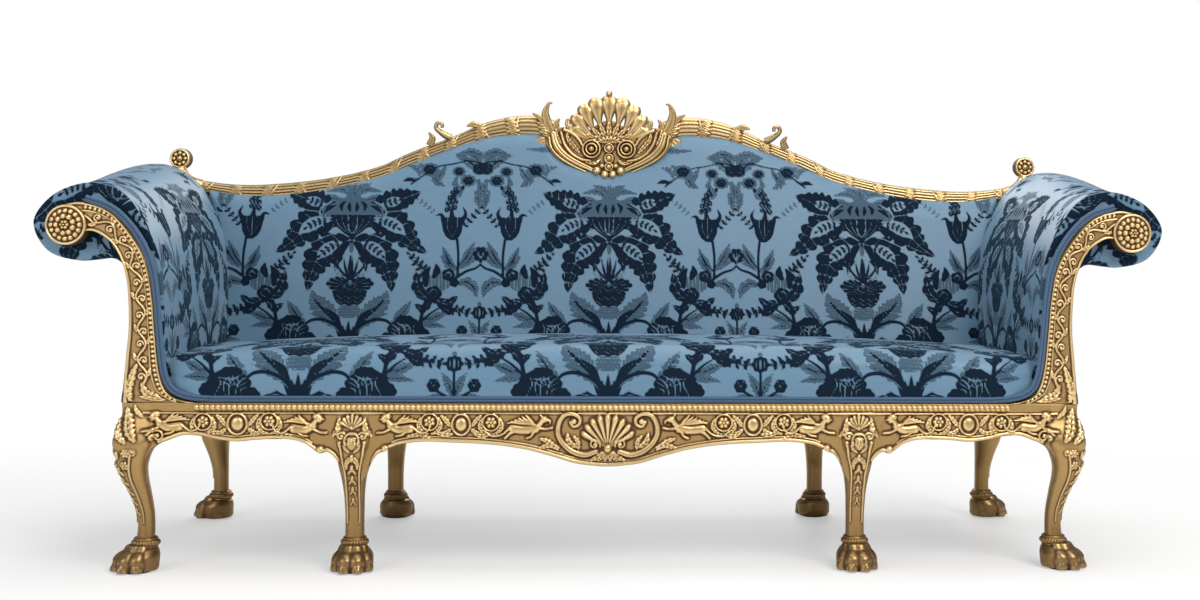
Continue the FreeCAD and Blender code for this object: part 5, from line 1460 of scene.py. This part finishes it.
facingInner = [(783, 325), (808, 329), (830, 338), (843, 355), (853, 394), (860, 464), (865, 524),
               (877, 588),
               (904, 639), (946, 686), (996, 704), (1028, 701)]
facingOuter = [(922, 325), (921, 338), (919, 350), (917, 372), (914, 405), (908, 464), (909, 524),
               (914, 566),
               (927, 605), (948, 634), (985, 650), (1024, 626)]


def drawFacing(c):
    # bead row inside the inner edge, raised outer edge, and a vine of scrolling leaves between
    inner, outer = (evenLine(line, 60)[0] for line in (facingInner, facingOuter))
    mid, near, far = (inner * (1 - t) + outer * t for t in (0.5, 0.14, 0.95))
    c.beads(near[2:-4], 9.0, 3.6, 4.2)
    c.stem(inner * 0.96 + outer * 0.04, [2.6], 3.0)
    c.stem(far[::3], [3.2], 4.2)
    c.stem((near * 0.86 + far * 0.14)[::3], [1.0], 1.8)
    # the vine swings from side to side, with a curl and a leaf in every hollow
    way = np.gradient(mid, axis=0)
    way = way / np.linalg.norm(way, axis=1, keepdims=True)
    side = joined(-way[:, 1], way[:, 0])
    wave = np.linspace(0, 15.5 * np.pi, 60)[:, None]
    vine = mid + side * 7.5 * np.sin(wave)
    c.stem(vine[6:-4], [2.3, 1.9], 4.6)
    for k in range(2, 15):
        at = int((k + 0.5) / 15.5 * 59)
        hand = 1 if math.sin(15.5 * math.pi * at / 59) > 0 else -1
        heart = mid[at] - side[at] * hand * 3.5
        start = math.degrees(math.atan2(*(vine[at] - heart)[::-1]))
        c.scroll(heart[0], heart[1], 7.0, start, -hand, 1.1, 1.9, 4.6)
        foot, out, ahead = vine[at], side[at] * hand, way[at]
        c.leaf([foot, foot + out * 5 + ahead * 5, foot + out * 8 + ahead * 14], 4.6, 4.4, 3)
    # leaves at the foot of the panel and in its corner
    c.leaf([(905, 330), (908, 352), (900, 380), (893, 398)], 9, 5.4, 6)
    c.leaf([(850, 334), (874, 342), (884, 362)], 9, 5.0, 5)
    c.leaf([(840, 330), (862, 332), (886, 336)], 5, 4.2, 5)


def drawRoundel(c):
    c.ring(0, 0, 36, 36, 2.2, 4.0)
    c.circle(16, 26.5, 4.4, 5.2)
    c.circle(9, 16, 5.4, 7.2, 0.5)
    c.rosette(0, 0, 9.5, 9.5, 6)


def makeFacings():
    for sign, word in ((-1, "left"), (1, "right")):
        shape = Shape()
        put = lambda x, z, high: facing(sign * x, z, high - 1.2)
        addPanel(shape, facingOuter, facingInner, 300, 46, drawFacing, put, 27.0, flip=sign < 0)
        shape.piece("carved_facing_" + word, gilt, "giltwood", ("arm_facing_" + word,))
        disc = Shape()
        addDisc(disc, sign * 1025, 661, 39, 9.0, drawRoundel, lambda x, z, high: facing(x, z, high + 1.0),
                26.0, flip=True, bulge=2)
        disc.piece("carved_roundel_" + word, gilt, "giltwood", ("arm_roundel_" + word,))


makeFrontRails()
makeSideRails()
makeBeadMoulding()
makeFacings()
print("rails and facings ready")

# the legs: one tube each, square at the block and round at the ankle, over a beaded collar and a lion paw

ankleTop = 61.0
# share of the height above the ankle, swing outwards in mm, half width in mm
cornerStations = [(0.0, -6, 17.8), (0.102, -7, 16.9), (0.205, -5.5, 17.3), (0.337, 1.5, 20.5),
                  (0.455, 10, 25.5),
                  (0.557, 13.5, 29.5), (0.68, 10.5, 36.0), (0.76, 7, 37.0), (0.9, 0, 32.5), (1.0, 0, 32.0)]
backStations = [(0.0, -5.5, 17.8), (0.102, -5.5, 17.5), (0.205, -4, 18.6), (0.337, 4, 24.5),
                (0.455, 12, 31.5),
                (0.557, 14, 34.5), (0.68, 9, 36.0), (0.76, 5, 35.5), (0.9, 0, 32.5), (1.0, 0, 32.0)]
innerStations = [(0.0, -6, 19.4), (0.102, -6, 19.2), (0.205, -5, 19.6), (0.337, 1, 21.4), (0.455, 7, 25.6),
                 (0.557, 8.5, 31.5), (0.68, 8, 33.5), (0.76, 5, 33.5), (0.9, 0, 32.5), (1.0, 0, 32.5)]
legValues = {"rows": 176, "around": 148, "relief": 4.6, "pawHigh": 50.0, "toes": 4, "pawWide": 1.3,
             "tall": 264.0, "rearDetail": 0.68}


def pawReach(angle, z, high):
    # distance from the paw's middle to its skin: the furthest of several round lobes met by each ray
    def lobe(turn, far, radius, middle, tall):
        level = np.clip(1 - ((z - middle) / tall) ** 2, 0, 1)
        r = radius * np.sqrt(level)
        off = far * np.sin(angle - turn)
        ahead = far * np.cos(angle - turn) + np.sqrt(np.maximum(r * r - off * off, 0))
        return np.where((np.abs(off) < r) & (np.cos(angle - turn) > 0), ahead, 0)

    base = 25 + 4 * np.sin(np.pi * np.clip(z / high, 0, 1)) - 6 * smoothStep(0.55, 1.0, z / high)
    reach = base * np.clip((high + 6 - z) / 14, 0.6, 1)
    for k in range(legValues["toes"]):
        turn = math.radians(-57 + 38 * k)
        lean = 1.0 - 0.12 * abs(k - 1.5)
        reach = np.maximum(reach, lobe(turn, 25.5 * lean, 13.2, 20, 22))  # knuckle
        reach = np.maximum(reach, lobe(turn, 31.5 * lean, 9.6, 10, 14))  # toe pad
        reach = np.maximum(reach, lobe(turn, 40.0 * lean, 3.4, 6.5, 7.5))  # claw
        reach = np.maximum(reach, lobe(turn, 17.0 * lean, 11.6, 36, 20))  # tendon
    for turn in (-2.35, 2.35):
        reach = np.maximum(reach, lobe(turn, 15, 14, 12, 16))
    return np.maximum(reach, lobe(math.pi, 10, 18, 14, 22))


def drawInnerLeg(c):
    h = legValues["relief"]
    c.shell(0, 274, 31, 64, 7, h * 1.5)
    for half in c.halves():
        half.scroll(20, 262, 7.5, 150, -1, 1.2, 2.0, h)
        half.stem([(25, 250), (22, 226), (15, 196), (13, 150), (12.5, 92)], [2.4, 1.8], h * 0.7)
        half.leaf([(5, 232), (12, 240), (16, 252)], 5, h, 4)
        half.leaf([(3, 222), (10, 212), (11, 198)], 5, h, 5)
    # the small mask: brow, eyes, nose, cheeks, mouth and chin over an oval, with curled hair round it
    c.dome(0, 250, 11.5, 15.5, h * 1.5, power=0.6)
    c.stem([(0, 256), (0, 248)], [1.6, 2.4], h * 1.9)
    for half in c.halves():
        half.stem([(1.6, 257), (4.6, 258.5), (7.6, 256.5)], [1.1], h * 1.75)
        half.dome(4.4, 254, 2.0, 1.3, h * 1.66)
        half.dome(5.6, 247.5, 3.2, 3.0, h * 1.6)
        half.stem([(11, 246), (13, 255), (8, 265), (0, 267)], [2.4, 3.2], h * 1.35)
    c.stem([(-2.8, 243.2), (0, 242.6), (2.8, 243.2)], [1.1], h * 1.75)
    c.dome(0, 238.6, 3.2, 2.4, h * 1.6)
    for k in range(5):
        c.dome(0, 220 - 21 * k, 4.6 - 0.4 * k, 8.0 - 0.5 * k, h * (1.1 - 0.08 * k))
        for half in c.halves():
            half.dome(5.6 - 0.5 * k, 213.5 - 21 * k, 3.2 - 0.3 * k, 5.4, h * (0.85 - 0.06 * k), 0.5)


def drawCornerLeg(c):
    h = legValues["relief"]
    # acanthus up the corner, rosettes on the knee, husks falling to the ankle
    c.leaf([(0, 262), (0, 284), (0, 316)], 13, h * 1.1, 6)
    for half in c.halves():
        half.leaf([(5, 244), (14, 258), (16, 278)], 7, h * 0.9, 5)
        half.leaf([(8, 240), (22, 244), (34, 256)], 6, h * 0.8, 4)
        half.stem([(34, 246), (27, 220), (19, 186), (14, 150), (12.5, 92)], [2.6, 1.8], h * 0.75)
        half.scroll(34, 232, 8, 90, 1, 1.2, 2.0, h * 0.9)
        half.rosette(20, 230, 9.5, h * 1.3, 6)
        half.rosette(15, 206, 9.0, h * 1.25, 6)
    c.dome(0, 226, 5, 9, h * 1.2)
    for k in range(5):
        c.dome(0, 196 - 20 * k, 4.6 - 0.35 * k, 7.6 - 0.4 * k, h * (1.15 - 0.08 * k))
        for half in c.halves():
            half.dome(5.4 - 0.4 * k, 190 - 20 * k, 3.2 - 0.25 * k, 5.2, h * (0.85 - 0.06 * k), 0.5)


def makeLeg(node, spot, aims, stations, draw, detail):
    # aims: the way the knee and the paw swing; angle 0 is measured from that way
    v = legValues
    rows, around = (int(v[key] * detail) for key in ("rows", "around"))
    table = flowLine(stations, per=6)
    z = np.linspace(ankleTop, railTop, rows)[:, None]
    share = (z - ankleTop) / v["tall"]
    swing = np.interp(share, table[:, 0], table[:, 1])
    half = np.interp(share, table[:, 0], table[:, 2])
    aim = math.atan2(aims[1], aims[0])
    angle = np.linspace(0, 2 * np.pi, around, endpoint=False)[None]
    # superellipse: its power falls from 12 at the block to 2.3 at the ankle
    power = 2.3 + 9.7 * smoothStep(0.6, 0.82, share) ** 1.5
    c, s = np.abs(np.cos(angle)), np.abs(np.sin(angle))
    reach = half * (c ** power + s ** power) ** (-1 / power)
    turned = (angle - aim + np.pi) % (2 * np.pi) - np.pi
    pawAim = math.atan2(aims[1] * (0.45 if aims[0] and aims[1] > 0 else 0.85), aims[0])
    arc = turned * np.minimum(reach, half * 1.15)
    carve = Carving(arc, z + 0 * arc)
    draw(carve)
    fade = smoothStep(0.02, 0.1, share) * (1 - smoothStep(0.955, 1.0, share))
    raised = carve.heights() * fade
    if aims[1] < 0:
        # the frieze runs on across the face of the block
        flatX = spot[0] + reach * np.cos(angle)
        corner = Carving(np.abs(flatX), z + 0 * arc)
        drawFrieze(corner)
        ahead = smoothStep(0.55, 0.75, -np.sin(angle) * reach / half) * smoothStep(0.63, 0.68, share)
        own = 1 - ahead if aims[0] else 1.0
        raised = np.maximum(raised * own, corner.heights() * ahead * 0.9)
    # painted shade and toning in the hollows of the carving
    hollow = creviceOf(raised, 3, closeCols=True)
    reach = reach - 1.4 + raised
    steps = [np.sign(a) if abs(a) > 0.3 else 0.0 for a in aims]
    x = spot[0] + swing * steps[0] + reach * np.cos(angle)
    y = spot[1] + swing * steps[1] + reach * np.sin(angle)
    # the block stays within the plane of the rails
    if aims[1] < 0:
        y = np.maximum(y, frontPlane - 2.0 - raised * 0.8 - 34 * (1 - smoothStep(0.62, 0.97, share)))
    shape = Shape()
    shape.tube(joined(x, y, z), crevice=hollow[..., None])
    # collar: a roll of beads between two fillets
    ankle = (spot[0] + table[0, 1] * steps[0], spot[1] + table[0, 1] * steps[1])
    zc = np.linspace(44, 64, 22)[:, None]
    t = (zc - 53.5) / 6.0
    bead = np.abs(np.cos(13 * angle))
    ball = np.sqrt(np.clip(1 - t ** 2, 0, 1))
    fillets = np.exp(-((np.abs(zc - 53.5) - 8) / 1.6) ** 2)
    wall = 20.5 + 6.6 * ball * (0.55 + 0.45 * bead ** 0.6) + 2.4 * fillets
    ring = joined(ankle[0] + wall * np.cos(angle), ankle[1] + wall * np.sin(angle), zc)
    # painted shade between the beads and beside the fillets, lighter on the bead crowns
    shape.tube(ring, crevice=(0.7 * (1 - bead) * ball + 0.3 * (1 - ball) - 0.2 + 0 * wall)[..., None])
    # paw
    forward = (math.cos(pawAim), math.sin(pawAim))
    turned = (angle - pawAim + np.pi) % (2 * np.pi) - np.pi
    centre = (ankle[0] + 13 * forward[0], ankle[1] + 13 * forward[1])
    zp = np.concatenate([np.linspace(2.6, v["pawHigh"], 52), [v["pawHigh"] + 2]])[:, None]
    wall = pawReach(turned, zp, v["pawHigh"])
    wall = wall * v["pawWide"] - 2.0 * (zp < 3) - 4.0 * (zp > v["pawHigh"])
    hollow = creviceOf(wall, 3, closeCols=True)
    shift = -9.0 * smoothStep(0.5, 1.0, zp / v["pawHigh"])
    ring = joined(centre[0] + shift * forward[0] + wall * np.cos(angle),
                  centre[1] + shift * forward[1] + wall * np.sin(angle), zp)
    # painted shade in the hollows between the lobes, and a little over the whole paw
    shape.tube(ring, crevice=(hollow * 0.6 + 0.12)[..., None])
    shape.piece("carved_" + node, gilt, "giltwood", (node,))


legs = [("front_corner", 890, -312.75, cornerStations, drawCornerLeg, (1, -1)),
        ("front_inner", 487, -312.75, innerStations, drawInnerLeg, (0, -1)),
        ("back_corner", 890, 268.25, backStations, drawCornerLeg, (1, 1)),
        ("back_inner", 487, 268.25, innerStations, drawCornerLeg, (0, 1))]
for kind, x, y, stations, draw, aims in legs:
    for sign, word in ((-1, "left"), (1, "right")):
        # the rear legs stand in shade and take fewer points
        makeLeg(kind + "_leg_" + word, (sign * x, y), (sign * aims[0], aims[1]), stations, draw,
                legValues["rearDetail"] if kind.startswith("back") else 1.0)
print("legs ready")

# the crest: reeded mouldings wound with leaves and ribbon, an arch over the cloth, and the pierced shell

crestValues = {"reeds": 5, "leafPitch": 74.0, "swell": 15.0}


def reeded(strength, wrap):
    # half round across, cut into reeds, with a leafy knot or a slanting ribbon at every pitch
    def body(x, z, t, run):
        across = 2 * t - 1
        swell = crestValues["swell"] * np.sqrt(np.clip(1 - across ** 2, 0, 1)) ** 0.9
        reed = np.abs(np.sin(np.pi * crestValues["reeds"] * (t - 0.12) / 0.88)) ** 0.6 * (t > 0.12)
        pitch = crestValues["leafPitch"]
        knot = (run / pitch) % 1.0 - 0.5
        off = knot * pitch
        odd = np.floor(run / pitch) % 2
        slant = off + 12 * across * np.where(odd > 0, 1, -1)
        band = np.clip(1 - (slant / 4.0) ** 2, 0, 1) ** 0.5
        lobes = 0.6 + 0.4 * np.abs(np.cos(np.pi * 2.5 * across))
        clump = np.clip(1 - ((off - 9) / (17 * lobes)) ** 2, 0, 1) ** 0.5
        leafy = clump * (0.75 + 0.25 * np.abs(np.cos(np.pi * 5 * across + off / 6.0)))
        return swell + np.maximum(2.8 * reed * strength, np.maximum(3.6 * band, 4.4 * leafy * wrap))
    return body


def clipped(line, low, high):
    x = np.linspace(low, high, 60)
    flow = flowLine(line)
    return joined(x, np.interp(x, flow[:, 0], flow[:, 1]))


def drawNothing(c):
    return None


def drawRose(c):
    c.ring(0, 0, 21, 21, 3.4, 6)
    c.circle(8, 13, 5, 7)
    c.dome(0, 0, 7, 7, 10)


def makeCrestMouldings():
    for sign, word in ((-1, "left"), (1, "right")):
        put = lambda x, z, high: leaning(sign * x, z, high + 6.5)
        shape = Shape()
        addPanel(shape, clipped(crestLow, 392, 972) - (0, 3), clipped(crestTop, 392, 972), 420, 40,
                 drawNothing, put,
                 22.0, reeded(1.0, 1.0), flip=sign < 0)
        shape.piece("crest_reeding_" + word, giltCrestShaded, "giltwood", ("crest_moulding_" + word,))
        arch = Shape()
        addPanel(arch, clipped(crestLow, 118, 396) - (0, 2), clipped(crestTop, 118, 396), 260, 38,
                 drawNothing, put,
                 22.0, reeded(0.8, 1.25), flip=sign < 0)
        # the curl standing where the arch meets the long moulding
        addTube(arch, [(372, 312, 884), (388, 308, 892), (404, 306, 905), (402, 305, 917),
                       (391, 305, 916), (391, 305, 907)], [9, 8, 6, 5, 4, 4], [7, 7, 6, 6, 6], rows=40,
                       sign=sign)
        addTube(arch, [(420, 314, 866), (414, 310, 882), (422, 308, 896)], [9, 8, 2], [6, 5, 2],
                ridge=0.4, sign=sign)
        arch.piece("crest_arch_carving_" + word, giltCrestShaded, "giltwood", ("crest_arch_" + word,))
        rose = Shape()
        addDisc(rose, sign * 994, 828, 24, 6.0, drawRose, lambda x, z, high: leaning(x, z, high + 18.0),
                16.0,
                flip=True, rings=22, around=80)
        addTube(rose, [(944, 306, 762), (968, 300, 769), (984, 296, 784), (992, 296, 806)],
                [17, 18, 17, 13], [20, 20, 18, 14], rows=34, around=20, ridge=0.2, sign=sign)
        addTube(rose, [(956, 284, 774), (972, 278, 786), (978, 280, 802)], [6, 7, 1.5], [4, 4, 1.5],
                ridge=0.5, sign=sign)
        rose.piece("crest_rosette_carving_" + word, gilt, "giltwood", ("crest_rosette_" + word,))


shellTips = [(0, 988), (31, 982), (57.5, 966), (76.5, 943), (85.5, 914)]


def makeShell():
    # nine ribs bent forward at their tips, standing apart above a solid fan
    shape = Shape()
    for k, (x, z) in enumerate(shellTips):
        for side in ((1,) if k == 0 else (-1, 1)):
            foot = (x * 0.20, 302.0, 876 - k)
            mid = (x * 0.70, 303.0, 876 + (z - 876) * 0.42)
            high = (x * 0.96, 296.0, 876 + (z - 876) * 0.78)
            tip = (x, 299.0, z)
            share = np.linspace(0, 1, 48)
            # narrow where light shows between the ribs, then widening until they touch, with a round end
            close = np.sqrt(np.clip(1 - np.clip((share - 0.84) / 0.16, 0, 1) ** 2, 0.01, 1))
            wide = (5.0 + (15.5 - 0.8 * k) * smoothStep(0.36, 0.86, share)) * close
            deep = (8 + 5 * np.sin(np.pi * share)) * close
            addTube(shape, [foot, mid, high, tip], wide, deep, side, rows=48, around=20, ridge=0.22)
    addTube(shape, [(0, 296, 984), (0, 292, 991), (0, 291, 996)], [5, 8, 5], [5, 6, 4], rows=14)
    # curled lips at either side
    for side in (-1, 1):
        addTube(shape, [(60, 302, 893), (80, 300, 900), (96, 299, 914), (97, 299, 926),
                        (88, 299, 927), (86, 300, 919)], [9, 9, 8, 6, 5, 5], [9, 9, 8, 7, 7], rows=44,
                ridge=0.25, sign=side)
    shape.piece("crest_pierced_shell", gilt, "giltwood", ("crest_shell",))


cartoucheLow = [(0, 785), (34, 793), (65, 807), (103, 824), (128, 842), (146, 868)]
cartoucheTop = [(0, 928), (22, 922), (44, 906), (66, 896), (92, 908), (120, 910), (146, 892)]


def drawCartouche(c):
    # palmette over two volutes, bosses down the middle, scrolling bands either side, gadroons at the foot
    c.high[:] = 1.0
    for k in range(-3, 4):
        aim = math.radians(90 - 21 * k)
        far = 50 - 2.0 * abs(k)
        c.leaf([(5 * k, 876), (5 * k + far * 0.55 * math.cos(aim), 876 + far * 0.55 * math.sin(aim)),
                (5 * k + far * math.cos(aim), 876 + far * math.sin(aim))], 9.5, 11.5 - 0.5 * abs(k), 4)
    for half in c.halves():
        for radius, high in ((22, 11.0), (14.4, 12.5)):
            half.ring(41, 860, radius - 2, radius - 2, 2.9, high)
        half.dome(41, 860, 7.4, 7.4, 15.5)
        half.stem([(130, 894), (122, 868), (104, 846), (78, 829), (50, 816), (34, 808)], [8, 9, 8, 7, 5],
                  [8, 10, 9], ridge=0.25)
        half.stem([(140, 886), (134, 860), (114, 838), (84, 820), (54, 806)], [3.4, 3.6, 3], 6.5)
        half.stem([(112, 898), (104, 872), (88, 850), (66, 836), (44, 832)], [3.6, 4.4, 3.6], 8.5)
        half.stem([(62, 868), (72, 884), (86, 896), (104, 904)], [3.4, 4.6, 5.4], 9.0)
        half.leaf([(70, 852), (82, 866), (96, 884), (98, 900)], 8, 8.5, 6)
        half.leaf([(112, 872), (122, 888), (124, 906)], 6, 8, 5)
        half.leaf([(22, 834), (34, 826), (56, 830)], 6, 8, 4)
        for x, z, turn in ((9.5, 799, 0.0), (28, 808, 0.4)):
            half.dome(x, z, 10.5, 11.5, 15.5, turn)
        half.dome(16, 820, 7, 6, 9.5)
    for z, radius in ((862, 8.4), (838, 8.0), (818, 7.0)):
        c.ring(0, z, radius + 1.6, radius + 1.6, 1.8, 9)
        c.dome(0, z, radius, radius, 13)


def makeCartouche():
    shape = Shape()
    # the cartouche leans a little less than the back behind it
    put = lambda x, z, high: joined(x, 293 + (z - 860) * 0.09 - high, z)
    addPanel(shape, mirrored(cartoucheLow), mirrored(cartoucheTop), 250, 110, drawCartouche, put,
             15.0, edge=3.0)
    for side in (-1, 1):
        # the small leaf spray hanging over the cloth beside the shell
        for points in ([(150, 884), (162, 880), (172, 872)], [(148, 880), (158, 870), (164, 860)],
                       [(146, 876), (150, 864), (152, 854)]):
            addTube(shape, [(x, 303, z) for x, z in points], [3, 6.5, 6, 1.5], [4, 5, 4, 2], ridge=0.4,
                    sign=side)
    shape.piece("crest_cartouche_carving", gilt, "giltwood", ("crest_cartouche",))
    leaves = Shape()
    for side in (-1, 1):
        for points, wide, thick, rows in (
                ([(134, 316, 900), (146, 314, 924), (150, 310, 946), (142, 306, 966), (134, 304, 968)],
                 [8, 11, 10, 6, 2], [7, 7, 6, 5, 2], 40),
                ([(128, 316, 902), (124, 312, 920), (116, 309, 932)], [6, 7, 2], [5, 5, 2], 26),
                ([(150, 316, 920), (166, 312, 936), (180, 309, 944)], [6, 7, 2], [5, 5, 2], 26),
                ([(300, 318, 912), (318, 313, 916), (334, 311, 912)], [5, 8, 2], [5, 5, 2], 26)):
            addTube(leaves, points, wide, thick, side, rows=rows, ridge=0.5)
    leaves.piece("crest_leaf_carving", gilt, "giltwood", ("crest_leaves",))


makeCrestMouldings()
makeShell()
makeCartouche()
print("crest ready")

# the frame's own plain parts keep their solids and get their finishes

slotFinish = {
    "giltwood": gilt, "frame_wood": beech, "damask": damask, "braid": braid, "hair": hair,
    "webbing": jute, "hessian": linen, "dust_cloth": dustCotton, "pad": padWood,
}
for part in frame["record"]["subparts"]:
    node = frame["nodes"][part["node"]]
    finish = slotFinish[part["material_slot"]]
    if not node.data.materials:
        node.data.materials.append(finish)
    for slot in node.material_slots:
        slot.material = finish
print("frame parts finished")
